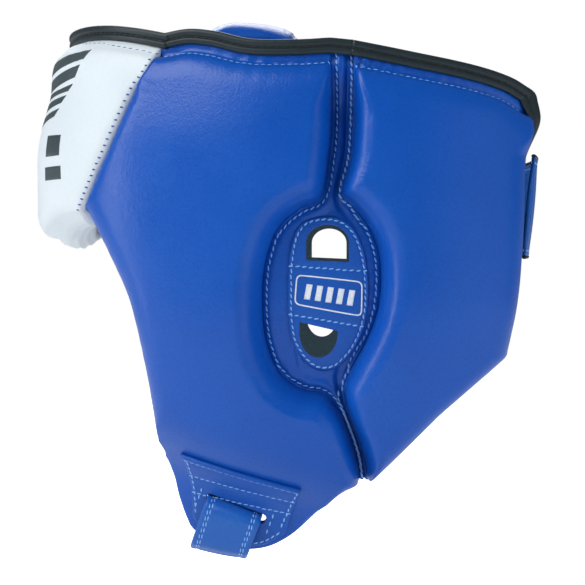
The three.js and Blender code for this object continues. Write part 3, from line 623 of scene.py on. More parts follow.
side_grid = laid_out(SIDE_RIM, CHIN_EDGE, joined(SEAM, FACE_EDGE), FOLD_FRONT,
                     np.linspace(0, 1, 71), np.linspace(0, 1, 177))
side_base, side_height = side_relief(side_grid)
side_border = border_of(side_grid)
on_face = reach_of(side_border, FACE_EDGE)[0] < 0.5
on_chin = reach_of(side_border, CHIN_EDGE)[0] < 0.5
side_pad = make_pad("side_pad_left", side_grid, side_form, side_base, side_height,
                    np.where(on_face, 0.8, np.where(on_chin, 0.3, 0.0)), 2.2, BLUE_LEATHER)
side_liner = make_liner("side_liner_left", side_grid[::2, ::2], side_form, side_base[::2, ::2],
                        LINING_CLOTH)


def cut(piece, *tools):
    """Takes the tools' shapes out of a piece."""
    for tool in tools:
        knife = piece.modifiers.new("cut", "BOOLEAN")
        knife.operation, knife.solver, knife.object = "DIFFERENCE", "EXACT", tool
    shaped = piece.evaluated_get(bpy.context.evaluated_depsgraph_get())
    mesh = bpy.data.meshes.new_from_object(shaped)
    piece.modifiers.clear()
    old, piece.data = piece.data, mesh
    bpy.data.meshes.remove(old)
    mesh.name = piece.name


def block(outline, depth):
    """A cutting tool: an outline of points, carried along X by a depth."""
    count = len(outline)
    points = np.vstack([outline - [depth / 2, 0, 0], outline + [depth / 2, 0, 0]])
    faces = [tuple(range(count))[::-1], tuple(range(count, 2 * count))]
    faces += [(k, (k + 1) % count, count + (k + 1) % count, count + k) for k in range(count)]
    return new_piece("cutting_tool", points, faces)


# The strap slot: a slit with round ends, through the flap and the patch on it.
slot_middle = side_form(SLOT["place"], 4.0)
slot_along = np.array([0, math.cos(SLOT["slope"]), -math.sin(SLOT["slope"])])
slot_down = np.array([0, -math.sin(SLOT["slope"]), -math.cos(SLOT["slope"])])
turns = np.linspace(0, 2 * math.pi, 33)[:-1]
half_run = (SLOT["length"] - SLOT["height"]) / 2
slot_outline = np.array([
    slot_middle + slot_along * (half_run * np.sign(math.cos(t)) + SLOT["height"] / 2 * math.cos(t))
    - slot_down * (SLOT["height"] / 2 * math.sin(t)) for t in turns])
slot_tool = block(slot_outline, 46)
cut(side_pad, slot_tool)
cut(side_liner, slot_tool)

# The pads and their linings, with mirrored copies for the right side, take the place of the CAD
# side pieces.
for hand, pad, liner in (("left", side_pad, side_liner),
                         ("right", mirrored(side_pad, "side_pad_right"),
                          mirrored(side_liner, "side_liner_right"))):
    for piece in (pad, liner):
        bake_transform(piece)
    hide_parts(f"side_cover_{hand}", f"side_foam_{hand}")
    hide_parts(f"side_lining_{hand}")


# ---- Rear wings ----
# Each wing is one padded panel behind the fold. Its rear edge is thinner, and its lower
# edge runs straight down to the chin.

FOLD_REAR = trace([[13, 105], [13.3, 85], [12.3, 60], [8.6, 43], [13.4, 38.3], [20, 30], [24.4, 19],
                   [25.4, 5], [23.6, -8], [19, -19.5], [13.4, -30], [9.8, -38.5], [11.6, -50],
                   [15.6, -60.5], [18.6, -71], [19.8, -80.6]])
WING_RIM = trace([[13, 105], [40, 99.4], [62, 95], [75, 91], [82.4, 86.4]])
WING_REAR = trace([[82.4, 86.4], [84, 79], [84.8, 66], [84.4, 48], [84, 34], [83.2, 18],
                   [81.3, -3], [77.6, -22.8]])
WING_HEM = trace([[19.8, -80.6], [47.8, -51.2], [77.6, -22.8]])


def wing_relief(places):
    rim, rim_run = reach_of(places, WING_RIM)
    rear, rear_run = reach_of(places, WING_REAR)
    fold, fold_run = reach_of(places, FOLD_REAR)
    hem, _ = reach_of(places, WING_HEM)
    base = flare_at(rim)
    height = base + blended(
        PAD, rolled(rim, FLARE + RIM_THICK, 13, PAD, STITCH_LINE) - base, rolled(fold, 3.3, 9, PAD),
        rolled(rear, 6, 12, PAD, 2.4), rolled(hem, 5.2, 10, PAD))
    height = np.maximum(height, base + 3.3)
    height = height - 1.1 * np.exp(-((rim - STITCH_LINE) / 1.3) ** 2)
    away = np.maximum(rim - STITCH_LINE, 0)
    near_fold = 0.2 + 1.2 * np.exp(-rim_run / 15)
    height = height + near_fold * ripple(rim_run, away, 5.0, 3.5, 5.0) * (rim > STITCH_LINE - 4)
    height = height + 0.16 * ripple(fold_run, fold, 6.5, 4.0, 6.0) * rise(fold / 2)
    return base, height


wing_grid = laid_out(WING_RIM, WING_HEM, FOLD_REAR, WING_REAR, np.linspace(0, 1, 65),
                     np.linspace(0, 1, 151))
wing_base, wing_height = wing_relief(wing_grid)
on_hem = reach_of(border_of(wing_grid), WING_HEM)[0] < 0.5
wing_pad = make_pad("wing_pad_left", wing_grid, side_form, wing_base, wing_height,
                    np.where(on_hem, 0.2, 0.0), 2.0, BLUE_LEATHER)
wing_liner = make_liner("wing_liner_left", wing_grid[::2, ::2], side_form, wing_base[::2, ::2],
                        LINING_CLOTH)
for hand, pad, liner in (("left", wing_pad, wing_liner),
                         ("right", mirrored(wing_pad, "wing_pad_right"),
                          mirrored(wing_liner, "wing_liner_right"))):
    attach(pad, f"wing_{hand}")
    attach(liner, f"wing_{hand}")
    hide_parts(f"wing_cover_{hand}", f"wing_foam_{hand}")
    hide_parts(f"wing_lining_{hand}")


# ---- Fold and ear panel ----
# One layer of leather over one of lining, without foam, so that the wing can fold on it.
# It widens to an oval over the ear, where two D-shaped holes go through it.

SHEET_TOP = 3.0

fold_top = np.linspace(FOLD_FRONT[0], FOLD_REAR[0], 20)
fold_foot = np.linspace(FOLD_FRONT[-1], FOLD_REAR[-1], 20)
ear_grid = laid_out(fold_top, fold_foot, FOLD_FRONT, FOLD_REAR, np.linspace(0, 1, 41),
                    np.linspace(0, 1, 201))
ear_base = flare_at(reach_of(ear_grid, fold_top)[0])
ear_front, front_run = reach_of(ear_grid, FOLD_FRONT)
ear_rear, rear_run = reach_of(ear_grid, FOLD_REAR)
nearest_edge = np.minimum(ear_front, ear_rear)
across_fold = ear_front / (ear_front + ear_rear + 1e-6)
ear_height = ear_base + SHEET_TOP + 0.9 * rise(nearest_edge / 4)
ear_height -= 0.35 * np.exp(-((nearest_edge - 1.4) / 0.7) ** 2)
channel = 1 - rise((nearest_edge - 3.5) / 4)
ear_height += 0.9 * channel * np.exp(-((across_fold - 0.35) / 0.22) ** 2)
ear_height -= 1.5 * channel * np.exp(-((across_fold - 0.72) / 0.10) ** 2)
ear_height += 0.22 * ripple(front_run, ear_front, 5.5, 5.0, 7.0) + 0.35 * ripple(rear_run,
                                                                                 ear_rear, 6.0,
                                                                                 5.0, 8.0)
creases = np.sin(ear_grid[..., 0] * 1.25 + 0.22 * ear_grid[..., 1])
creases *= np.exp(-((ear_grid[..., 0] + 9) / 6) ** 2 - ((ear_grid[..., 1] + 24) / 9) ** 2)
ear_height += 0.7 * creases
ear_leather = closed("ear_leather_left", side_form(ear_grid, ear_height),
                     side_form(ear_grid, ear_base + LINING_TOP + 0.2), [], BLUE_LEATHER)
ear_liner = make_liner("ear_liner_left", ear_grid[::2, ::2], side_form, ear_base[::2, ::2],
                       LINING_CLOTH)


def ear_hole(y, z, width, height, wall, tilt, turn):
    """A D: one straight side, a little tilted, and a round one."""
    arc = np.linspace(0, math.pi, 25)
    outline = [(-width / 2, tilt), (width / 2, -tilt)]
    outline += [(width / 2 * math.cos(t), wall + (height - wall) * math.sin(t)) for t in arc]
    c, s = math.cos(turn), math.sin(turn)
    return block(np.array([[80, y + p * c - q * s, z + p * s + q * c] for p, q in outline]), 40)


ear_tools = [ear_hole(2.8, 15, 18.4, 15.6, 8, 0.4, 0),
             ear_hole(-1, -13.1, 16.4, 13.6, 3, 1.9, math.pi)]
cut(ear_leather, *ear_tools)
cut(ear_liner, *ear_tools)
for hand, sheet, liner in (("left", ear_leather, ear_liner),
                           ("right", mirrored(ear_leather, "ear_leather_right"),
                            mirrored(ear_liner, "ear_liner_right"))):
    for piece in (sheet, liner):
        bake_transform(piece)
    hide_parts(f"ear_panel_{hand}")
    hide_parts(f"ear_lining_{hand}")


# ---- Ear patch ----
# A second layer of leather stitched round both holes, with a printed panel between them.

patch_top = trace([[-14, 8], [-13, 20], [-9, 30.5], [-2, 33.8], [6, 33.8], [13, 30], [18, 20],
                   [20.2, 6]])
patch_foot = trace([[-14, -6], [-12.6, -18], [-6.4, -28.2], [0, -31.6], [6, -30.6], [13, -24],
                    [18, -14], [20, -4]])
patch_grid = laid_out(patch_top, patch_foot, np.linspace(patch_top[0], patch_foot[0], 30),
                      np.linspace(patch_top[-1], patch_foot[-1], 30), np.linspace(0, 1, 81),
                      np.linspace(0, 1, 65))
patch_outline = joined(patch_top, np.linspace(patch_top[-1], patch_foot[-1], 30), patch_foot[::-1],
                       np.linspace(patch_foot[0], patch_top[0], 30))
patch_edge, patch_run = reach_of(patch_grid, patch_outline)
patch_height = 4.35 + 0.75 * np.sqrt(1 - (1 - np.clip(patch_edge / 1.3, 0, 1)) ** 2)
patch_height -= 0.35 * np.exp(-((patch_edge - 1.5) / 0.6) ** 2)
patch_height += 0.12 * ripple(patch_run, patch_edge, 4.5, 3.0, 9.0)
PATCH_LINES = [((-12.6, 12.8), (18.2, 10.6)), ((-12.6, -7.6), (17.0, -12.6))]
for start, end in PATCH_LINES:
    patch_height -= 0.35 * np.exp(-(reach_of(patch_grid, np.array([start, end], float))[0]
                                    / 0.7) ** 2)
ear_patch = closed("ear_patch_left", side_form(patch_grid, patch_height),
                   side_form(patch_grid, np.full(patch_edge.shape, 3.95)), [], PATCH_LEATHER)
ear_patch_tree = surface_tree(ear_patch)
cut(ear_patch, *ear_tools)


def printed(name, grids, tree, thick, material):
    """Thin printed shapes lying on a surface; each grid holds rough points in mm."""
    points, faces, base = [], [], 0
    for grid in grids:
        columns, rows = grid.shape[:2]
        low, normal = settled(grid, tree, -0.05)
        high = low + normal * (thick + 0.05)
        number = np.arange(columns * rows).reshape(columns, rows)
        quads = np.stack([number[:-1, :-1], number[:-1, 1:], number[1:, 1:], number[1:, :-1]],
                         -1).reshape(-1, 4)
        count = columns * rows
        points += [high, low]
        faces += (quads + base).tolist() + (quads[:, ::-1] + base + count).tolist()
        border = [int(number[ij]) for ij in rim_loop(columns, rows)]
        for k, here in enumerate(border):
            after = border[(k + 1) % len(border)]
            faces.append((base + here, base + count + here, base + count + after, base + after))
        base += 2 * count
    return new_piece(name, np.vstack(points), faces, material)


def slanted_bar(low_left, low_right, high_left, high_right, columns=14, rows=6):
    """A four-sided bar between its corners, in the coordinates of a form."""
    u, v = np.linspace(0, 1, columns)[:, None, None], np.linspace(0, 1, rows)[None, :, None]
    lower = np.array(low_left) * (1 - u) + np.array(low_right) * u
    upper = np.array(high_left) * (1 - u) + np.array(high_right) * u
    return upper * (1 - v) + lower * v


# The panel's frame is a rounded outline, and its filling is a row of plain leaning bars.
FRAME = np.array([[-10.1, 9.0], [17.3, 6.0], [17.0, -8.2], [-11.0, -3.2]])
label_line = []
for k in range(4):
    corner, before, after = FRAME[k], FRAME[k - 1], FRAME[(k + 1) % 4]
    enter = corner + (before - corner) / np.linalg.norm(before - corner) * 2.4
    leave = corner + (after - corner) / np.linalg.norm(after - corner) * 2.4
    for t in np.linspace(0, 1, 7):
        label_line.append((1 - t) ** 2 * enter + 2 * t * (1 - t) * corner + t * t * leave)
label_line = trace(np.array([*label_line, label_line[0]]), 4)
label_way = np.gradient(label_line, axis=0)
label_side = np.stack([label_way[:, 1], -label_way[:, 0]], -1)
label_side /= np.linalg.norm(label_side, axis=1, keepdims=True)
label_frame = np.stack([label_line - label_side * 0.3, label_line + label_side * 0.3], 1)
label_shapes = [side_form(label_frame, np.full(label_frame.shape[:2], 5.0))]
for k in range(5):
    y, drop = -6.6 + 4.5 * k, -0.62 * k
    bar = slanted_bar((y - 0.6, -1.2 + drop), (y + 1.9, -1.5 + drop), (y + 0.6, 5.2 + drop),
                      (y + 3.1, 4.9 + drop), 5, 8)
    label_shapes.append(side_form(bar, np.full(bar.shape[:2], 5.0)))
ear_print = printed("ear_print_left", label_shapes, ear_patch_tree, 0.12, WHITE_PRINT)
for hand, patch, ink in (("left", ear_patch, ear_print),
                         ("right", mirrored(ear_patch, "ear_patch_right"),
                          mirrored(ear_print, "ear_print_right"))):
    for piece in (patch, ink):
        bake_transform(piece)
    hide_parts(f"ear_patch_{hand}")


# ---- Chin patch ----
# A leather patch sewn over the thin flap to stop the strap's slot from tearing. Its upper
# edge is folded over a cord, so it stands up as a bead.

chin_top = trace([[-56.4, -66.6], [-32.6, -73.4], [-8.2, -79.8]])
chin_foot = trace([[-55.6, -99.6], [-46, -109.2], [-34, -111.4], [-25, -110.4], [-15.2, -104.6]])
chin_grid = laid_out(chin_top, chin_foot, np.linspace(chin_top[0], chin_foot[0], 20),
                     np.linspace(chin_top[-1], chin_foot[-1], 20), np.linspace(0, 1, 53),
                     np.linspace(0, 1, 41))
chin_outline = joined(chin_top, np.linspace(chin_top[-1], chin_foot[-1], 20), chin_foot[::-1],
                      np.linspace(chin_foot[0], chin_top[0], 20))
chin_edge, chin_run = reach_of(chin_grid, chin_outline)
bead, _ = reach_of(chin_grid, chin_top)
flap_top = side_relief(chin_grid)[1]
chin_height = flap_top + 0.5 + 1.1 * np.sqrt(1 - (1 - np.clip(chin_edge / 1.4, 0, 1)) ** 2)
chin_height += 1.1 * np.sqrt(np.clip(1 - ((bead - 1.2) / 1.3) ** 2, 0, 1))
chin_height += 0.12 * ripple(chin_run, chin_edge, 5.0, 4.0, 3.5)


def across_patch(share):
    """A line across the chin patch at a share of the way down to the slot."""
    left = chin_top[0] + (chin_foot[0] - chin_top[0]) * share
    right = chin_top[-1] + (chin_foot[-1] - chin_top[-1]) * share
    return np.linspace(left, right, 30)[1:-1]


CHIN_LINES = [across_patch(0.11), across_patch(0.36), across_patch(0.62)]
for line in CHIN_LINES:
    chin_height -= 0.35 * np.exp(-(reach_of(chin_grid, line)[0] / 0.7) ** 2)
chin_patch = closed("chin_patch_left", side_form(chin_grid, chin_height),
                    side_form(chin_grid, flap_top + 0.15), [], PATCH_LEATHER)
chin_patch_tree = surface_tree(chin_patch)
cut(chin_patch, slot_tool)
for hand, patch in (("left", chin_patch), ("right", mirrored(chin_patch, "chin_patch_right"))):
    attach(patch, "shell")
    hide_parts(f"chin_patch_{hand}")
for tool in (slot_tool, *ear_tools):
    bpy.data.objects.remove(tool)


# ---- Brow pad ----
# The white forehead panel, from seam to seam. It is thickest in the middle, and its leather
# turns in under the brow and gathers there in small creases before it meets the lining.

FRONT_SCALE = 100.0


def front_point(a, z):
    turn, power = a / FRONT_SCALE, 2 / FRONT_SQUARE
    x = half_width(z) * np.sign(turn) * np.abs(np.sin(turn)) ** power
    return np.stack([x, -front_reach(z) * np.cos(turn) ** power, z], -1)


def front_form(places, height):
    """Points at a height over the front of the head form, 100 units to the radian."""
    a, z = places[..., 0], places[..., 1]
    normal = np.cross(front_point(a + 1, z) - front_point(a - 1, z),
                      front_point(a, z + 1) - front_point(a, z - 1))
    normal /= np.linalg.norm(normal, axis=-1, keepdims=True)
    return front_point(a, z) + normal * np.asarray(height)[..., None]


def front_angle(y, z):
    return FRONT_SCALE * np.arccos((-y / front_reach(z)) ** (FRONT_SQUARE / 2))


brow_u, brow_v = np.linspace(-1, 1, 141), np.linspace(0, 1, 69)
brow_seam = along(SEAM, brow_v)
bow_rim = 12 * (1 - brow_u ** 2) - 3.6 * (1 - brow_u ** 2) ** 4
bow_brow = -8.5 * np.cos(math.pi / 2 * brow_u) ** 2
bow = bow_rim[:, None] * (1 - brow_v) + bow_brow[:, None] * brow_v
brow_grid = np.stack([
    brow_u[:, None] * (front_angle(*brow_seam.T) - 0.15)[None],
    brow_seam[None, :, 1] + bow], -1)
brow_rim, brow_run = reach_of(brow_grid, brow_grid[:, 0])
brow_foot, foot_run = reach_of(brow_grid, brow_grid[:, -1])
brow_ends = np.minimum(reach_of(brow_grid, brow_grid[0])[0], reach_of(brow_grid, brow_grid[-1])[0])
brow_full = np.broadcast_to((PAD + 6 * (1 - brow_u ** 2))[:, None], brow_rim.shape)
brow_lean = 2 * (1 - np.abs(brow_u) ** 3)  # the rim leans further out in the middle
brow_base = flare_at(brow_rim) * (1 + brow_lean[:, None] / FLARE)
rim_face = brow_base[:, :1] + RIM_THICK
brow_height = brow_base + blended(
    brow_full, rim_face + (brow_full - rim_face) * rolled(brow_rim, 0, 14, 1, 6) - brow_base,
    brow_full - 2.4 + 2.4 * rolled(brow_ends, 0, 5, 1),
    17 + (brow_full - 17) * rolled(brow_foot, 0, 9, 1))
brow_height = np.maximum(brow_height, brow_base + 4.2)
brow_height -= 0.9 * np.exp(-((brow_rim - STITCH_LINE) / 1.3) ** 2)
brow_height += 0.18 * ripple(brow_run, np.maximum(brow_rim - STITCH_LINE, 0), 6.0, 4.0, 2.5)
brow_outer = front_form(brow_grid, brow_height)
brow_sewn = (brow_rim < 12) | (brow_ends < 2) | (brow_foot < 2)
brow_outer += swelling(brow_outer, brow_sewn, 2.0)
turned_in = 1 - rise((brow_foot - 11) / 4)
gather = np.sin(brow_foot * 1.9 + 0.9 * np.sin(foot_run / 9) + 0.5 * np.sin(foot_run / 3.7))
brow_back = brow_base + LINING_TOP + 0.1 - turned_in * (2.2 + 0.8 * gather)
brow_edge, brow_way = border_of(brow_grid), outwards(brow_grid)
edge_top, edge_foot = border_of(brow_height), border_of(brow_back)
at_foot = rise(1 - reach_of(brow_edge, brow_grid[:, -1])[0] / 3)
brow_walls = []
for k, share in enumerate(np.linspace(0.06, 0.94, 12)):
    round_out = math.sin(math.pi * share) ** 0.6
    fold_in = 0.55 * np.sin(2.4 * k + 0.7
                            * np.sin(np.arange(len(brow_edge)) / 6.0)) * (share > 0.35)
    push = at_foot * (4.6 * round_out + fold_in)
    brow_walls.append(front_form(brow_edge + brow_way * push[:, None],
                                 edge_top + (edge_foot - edge_top) * share))
brow_pad = closed("brow_pad", brow_outer, front_form(brow_grid, brow_back), brow_walls,
                  WHITE_LEATHER)
liner_rows = int((1 - 12.5 / 86) * len(brow_v))
brow_liner = make_liner("brow_liner", brow_grid[::2, :liner_rows:2], front_form,
                        brow_base[::2, :liner_rows:2], LINING_CLOTH)
brow_tree = surface_tree(brow_pad)

# The print is a fan of plain bars that get shorter downwards, over two short blocks.
brow_bars = []
for side_sign in (-1, 1):
    for inner, outer, low, tall in [
            (20, 60, 103, 6.2), (18.5, 54.5, 94.6, 5.6), (17, 49.5, 86.8, 5),
            (15.5, 45, 79.8, 4.2), (14, 41, 73.8, 3.4)]:
        bar = slanted_bar((side_sign * inner, low - 4), (side_sign * (outer - 3.5), low),
                          (side_sign * inner, low + tall - 4), (side_sign * outer, low + tall),
                          40, 8)
        brow_bars.append(bar if side_sign > 0 else bar[::-1])
    for low, width in ((61, 13), (51, 15)):
        middle = side_sign * 42
        brow_bars.append(slanted_bar((middle - width / 2, low), (middle + width / 2, low),
                                     (middle - width / 2, low + 6), (middle + width / 2, low + 6),
                                     16, 6))
brow_print = printed("brow_print", [front_form(bar, np.full(bar.shape[:2],
                                                            26.0)) for bar in brow_bars],
                     brow_tree, 0.12, CHARCOAL_PRINT)
for piece, slot in ((brow_pad, "white_leather"), (brow_liner, "lining_cloth"),
                    (brow_print, "binding_tape")):
    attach(piece, "shell")
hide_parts("forehead_cover", "forehead_foam")
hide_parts("forehead_lining")


# ---- Piping ----
# The rim and the wings' rear edges are bound with black leather tape, folded over the edge
# and sewn through, so that it stands in two rolls with the stitches sunk between them.

def tube(name, rings, *materials):
    """A solid from closed rings of points, one after the other, with flat ends."""
    rings = np.asarray(rings)
    count, around = rings.shape[:2]
    faces = [tuple(range(around))[::-1], tuple(range((count - 1) * around, count * around))]
    for i in range(count - 1):
        for k in range(around):
            n = (k + 1) % around
            faces.append((i * around + k, i * around + n, (i + 1) * around + n,
                          (i + 1) * around + k))
    piece = new_piece(name, rings.reshape(-1, 3), faces, *materials)
    work = bmesh.new()
    work.from_mesh(piece.data)
    bmesh.ops.recalc_face_normals(work, faces=work.faces)
    work.to_mesh(piece.data)
    work.free()
    return piece


def inward_of(line):
    way = np.gradient(line, axis=0)
    way /= np.linalg.norm(way, axis=1, keepdims=True)
    return np.stack([way[:, 1], -way[:, 0]], -1)


PIPING_SHAPE = np.array([
    # share of the leg inwards, mm off it, mm over the face
    (1.0, 0.0, 0.12), (1.0, 0.15, 1.15), (0.82, 0, 1.95), (0.62, 0, 2.0), (0.46, 0, 1.1),
    (0.33, 0, 1.9),
    (0.1, 0, 2.3), (0, -0.6, 2.0), (0, -1.25, 0.75)])


def piping_rings(line, low, high, leg, form):
    """Rings of the folded tape along a rim whose two faces stand at low and high."""
    inward = inward_of(line)
    rings = []
    for place, way, bottom, top, reach in zip(line, inward, low, high, leg):
        fat = 0.35 + 0.65 * min(reach / 5.4, 1)
        outer = [(s * reach + d * fat, top + h * fat) for s, d, h in PIPING_SHAPE]
        under = [(s * reach + d * fat, bottom - h * fat) for s, d, h in PIPING_SHAPE[::-1]]
        skin = trace([*outer, (-1.5 * fat, (bottom + top) / 2), *under], 3)
        section = np.vstack([skin, [(reach, bottom - 0.12), (-0.2, bottom - 0.12),
                                    (-0.2, top + 0.12), (reach, top + 0.12)]])
        rings.append(form(place + section[:, :1] * way, section[:, 1]))
    return rings


def seam_of_piping(line, high, leg, form):
    """Where the tape's stitches lie, on its outer face."""
    return form(line + inward_of(line) * (0.46 * leg)[:, None],
                high + 1.25 * np.minimum(0.35 + 0.65 * leg / 5.4, 1))


def evenly(line, pitch):
    return along(line, np.linspace(0, 1, max(int(run_of(line)[-1] / pitch), 3)))


rim_line = evenly(joined(SIDE_RIM, fold_top), 1.2)
rim_tops = np.full(len(rim_line), FLARE + RIM_THICK)
rim_leg = np.full(len(rim_line), 5.5)
rim_piping = tube("rim_piping_left", piping_rings(rim_line, rim_tops - RIM_THICK, rim_tops,
                                                  rim_leg, side_form), BLACK_PIPING)
wing_line = evenly(trace(joined(WING_RIM, WING_REAR)[::12], 6), 1.1)
wing_low, wing_high = wing_relief(wing_line)
off_rim, _ = reach_of(wing_line, WING_RIM)
wing_leg = 5.4 - 3.5 * rise(off_rim / 20)
wing_high = wing_low + 5 + 1.0 * rise(off_rim / 16)
wing_piping = tube("wing_piping_left", piping_rings(wing_line, wing_low, wing_high, wing_leg,
                                                    side_form), BLACK_PIPING)
for hand, rim, wing in (("left", rim_piping, wing_piping),
                        ("right", mirrored(rim_piping, "rim_piping_right"),
                         mirrored(wing_piping, "wing_piping_right"))):
    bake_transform(rim)
    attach(wing, f"wing_{hand}")
    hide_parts(f"rim_binding_{hand}")
    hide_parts(f"wing_binding_{hand}", f"rear_binding_{hand}")
brow_line = evenly(np.vstack([brow_grid[0, 0] * 2 - brow_grid[2, 0], *brow_grid[1:-1, 0],
                              brow_grid[-1, 0] * 2 - brow_grid[-3, 0]]), 1.3)
brow_tops = FLARE + RIM_THICK + np.interp(np.linspace(0, 1, len(brow_line)),
                                          np.linspace(0, 1, len(brow_lean)), brow_lean)
brow_piping = tube("brow_piping", piping_rings(brow_line, brow_tops - RIM_THICK, brow_tops,
                                               np.full(len(brow_line), 5.5),
                                               front_form), BLACK_PIPING)
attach(brow_piping, "shell")
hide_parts("forehead_binding")

# A pale strip beside the tape down each wing's rear edge is painted highlight: a thin pale tube
# that stands in for the sheen on the rolled edge.
edge_line = evenly(along(WING_REAR, np.linspace(0.06, 0.98, 120)), 1.2)
edge_inset = -inward_of(edge_line)
edge_inset = np.where((edge_inset[:, :1] > 0), -edge_inset, edge_inset)
edge_places = edge_line + edge_inset * 2.5
edge_high = wing_relief(edge_places)[1]
edge_path = side_form(edge_places, edge_high + 0.15)
turns = np.linspace(0, 2 * math.pi, 9)[:-1]
edge_up = side_form(edge_places, edge_high + 1.15) - edge_path
edge_across = np.cross(np.gradient(edge_path, axis=0), edge_up)
edge_across /= np.linalg.norm(edge_across, axis=1, keepdims=True)
edge_rings = edge_path[:, None] + 0.38 * (np.cos(turns)[None, :, None] * edge_up[:, None]
                                          + np.sin(turns)[None, :, None] * edge_across[:, None])
edge_highlight_strip = tube("cut_edge_left", edge_rings, EDGE_HIGHLIGHT_PAINT)
for hand, piece in (("left", edge_highlight_strip), ("right", mirrored(edge_highlight_strip, "cut_edge_right"))):
    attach(piece, f"wing_{hand}")


# ---- Crown pad ----
# A narrow pad over the top of the head. It is sewn to a root on the left rim, and its free
# end holds by hook and loop on a tab from the right rim.

CROWN_Y, CROWN_WIDE, CROWN_THICK = -31.0, 38.0, 9.4
crown_line = trace([[65, 106], [59, 109.6], [48, 112.2], [28, 114.2], [0, 115], [-26, 114.2],
                    [-48, 112]])
crown_length = run_of(crown_line)[-1]


def crown_form(places, height):
    """Points over the crown pad's underside: a runs from its root, b across it."""
    share = np.clip(places[..., 0] / crown_length, 0, 1)
    here = along(crown_line, share)
    way = along(crown_line, np.minimum(share + 0.002, 1)) - along(crown_line,
                                                                  np.maximum(share - 0.002, 0))
    way /= np.linalg.norm(way, axis=-1, keepdims=True)
    height = np.asarray(height)
    return np.stack([here[..., 0] + way[..., 1] * height, places[..., 1],
                     here[..., 1] - way[..., 0] * height], -1)


crown_a, crown_b = np.linspace(0, crown_length, 97), np.linspace(-CROWN_WIDE / 2, CROWN_WIDE / 2,
                                                                 31) + CROWN_Y
crown_grid = np.stack(np.meshgrid(crown_a, crown_b, indexing="ij"), -1)
from_side = CROWN_WIDE / 2 - np.abs(crown_grid[..., 1] - CROWN_Y)
from_end = np.minimum(crown_grid[..., 0], crown_length - crown_grid[..., 0])
from_front, from_rear = crown_grid[..., 1] - crown_b[0], crown_b[-1] - crown_grid[..., 1]
crown_height = blended(CROWN_THICK, rolled(from_front, 3.5, 12, CROWN_THICK),
                       rolled(from_rear, 2.5, 28, CROWN_THICK), rolled(from_end, 4, 9, CROWN_THICK))
crown_height += 0.25 * ripple(crown_grid[..., 0], from_side, 6.0, 4.0, 1.5)
crown_flat = np.zeros_like(crown_height)
crown_pad = make_pad("crown_pad", crown_grid, crown_form, crown_flat, crown_height,
                     np.full(len(border_of(crown_height)), 1.0), 1.6, BLUE_LEATHER, 1)
crown_liner = make_liner("crown_liner", crown_grid[::2, ::2], crown_form, crown_flat[::2, ::2],
                         LINING_CLOTH)
for piece, node, slot in ((crown_pad, "crown_cover", "blue_leather"),
                          (crown_liner, "crown_lining", "lining_cloth")):
    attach(piece, "crown_flap")
    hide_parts(node)
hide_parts("crown_foam")


def strap_section(width, thick, puff):
    """A strap's cross-section: two leather faces with sunk stitch lines and soft edges."""
    half = width / 2
    upper = []
    for w in np.linspace(-1, 1, 33):
        soft = math.sqrt(max(1 - max(0, (abs(w) * half - half + 0.9) / 0.9) ** 2, 0))
        sunk = 0.22 * math.exp(-((half * (1 - abs(w)) - 3.4) / 0.7) ** 2)
        mound = puff * max(1 - (abs(w) / 0.74) ** 2, 0)
        upper.append((w * half, max(thick / 2 * soft + mound - sunk, 0.12)))
    return np.array(upper + [(w, -t) for w, t in upper[::-1]])


def strap(name, stations, section, material, fineness=10):
    """A strap swept along stations of (place, direction across it)."""
    path = trace(np.array([place for place, _ in stations]), fineness)
    across = trace(np.array([way for _, way in stations]), fineness)
    across /= np.linalg.norm(across, axis=1, keepdims=True)
    way = np.gradient(path, axis=0)
    up = np.cross(across, way)
    up /= np.linalg.norm(up, axis=1, keepdims=True)
    sideways, upwards = section[None, :, :1], section[None, :, 1:]
    rings = path[:, None] + across[:, None] * sideways + up[:, None] * upwards
    return tube(name, rings, material), path, across, up


tab_stations = [((x, CROWN_Y, z), (0, 1, 0)) for x, z in
                [(-71, 101), (-64, 104.6), (-52, 107.2), (-38, 109), (-26, 110), (-12, 110.7)]]
crown_tab, *_ = strap("crown_tab_strap", tab_stations, strap_section(32, 1.8, 0), STRAP_LEATHER)
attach(crown_tab, "shell")
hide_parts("crown_tab")


# ---- Chin strap ----
# One strap through both slots. It turns round the lower edge of each flap, and its free
# tail folds back under the chin, where hook and loop hold it.

strap_down = np.array([0, -math.sin(SLOT["slope"]), -math.cos(SLOT["slope"])])


def chin_station(x, down):
    place = np.array([x, *SLOT["place"]]) + strap_down * down - [0, 1.3, -0.45]
    turn = SLOT["slope"] - 0.18 * rise(down / 16)
    way = np.array([0.14 * np.clip(x / 50, -1, 1), math.cos(turn), -math.sin(turn)])
    return place, way / np.linalg.norm(way)


CHIN_WIDE = 26.2
chin_stations = [chin_station(*s) for s in [
    (-50.6, 4), (-47.8, 13.4), (-44.4, 17.4), (-36, 18.6), (-18, 19), (0, 19.1), (18, 19),
    (36, 18.6), (44.6, 17.8), (47.6, 13), (50, 4), (53.4, 0.9), (62.6, 1.1), (65.8, 4.2),
    (64, 14), (62, 19.6), (58.2, 22.4)]]
chin_section = strap_section(CHIN_WIDE, 1.7, 0.35)
chin_strap, chin_path, chin_across, chin_up = strap("chin_strap_leather", chin_stations,
                                                    chin_section, STRAP_LEATHER)
tail_stations = [chin_station(*s) for s in [(56.8, 22.9), (50, 23.9), (40, 23.9), (24, 24.1),
                                            (4, 24.2)]]
chin_tail, tail_path, tail_across, tail_up = strap("chin_tail_leather", tail_stations,
                                                   chin_section, STRAP_LEATHER)
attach(chin_strap, "shell")
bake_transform(chin_tail)
for piece, node in ((chin_strap, "chin_strap"), (chin_tail, "chin_strap_tail")):
    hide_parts(node)


# ---- Rear strap ----
# A wide strap sewn to the left wing's rear edge. It wraps behind the head and holds by
# hook and loop on the right wing. Its long edges are bound in black.

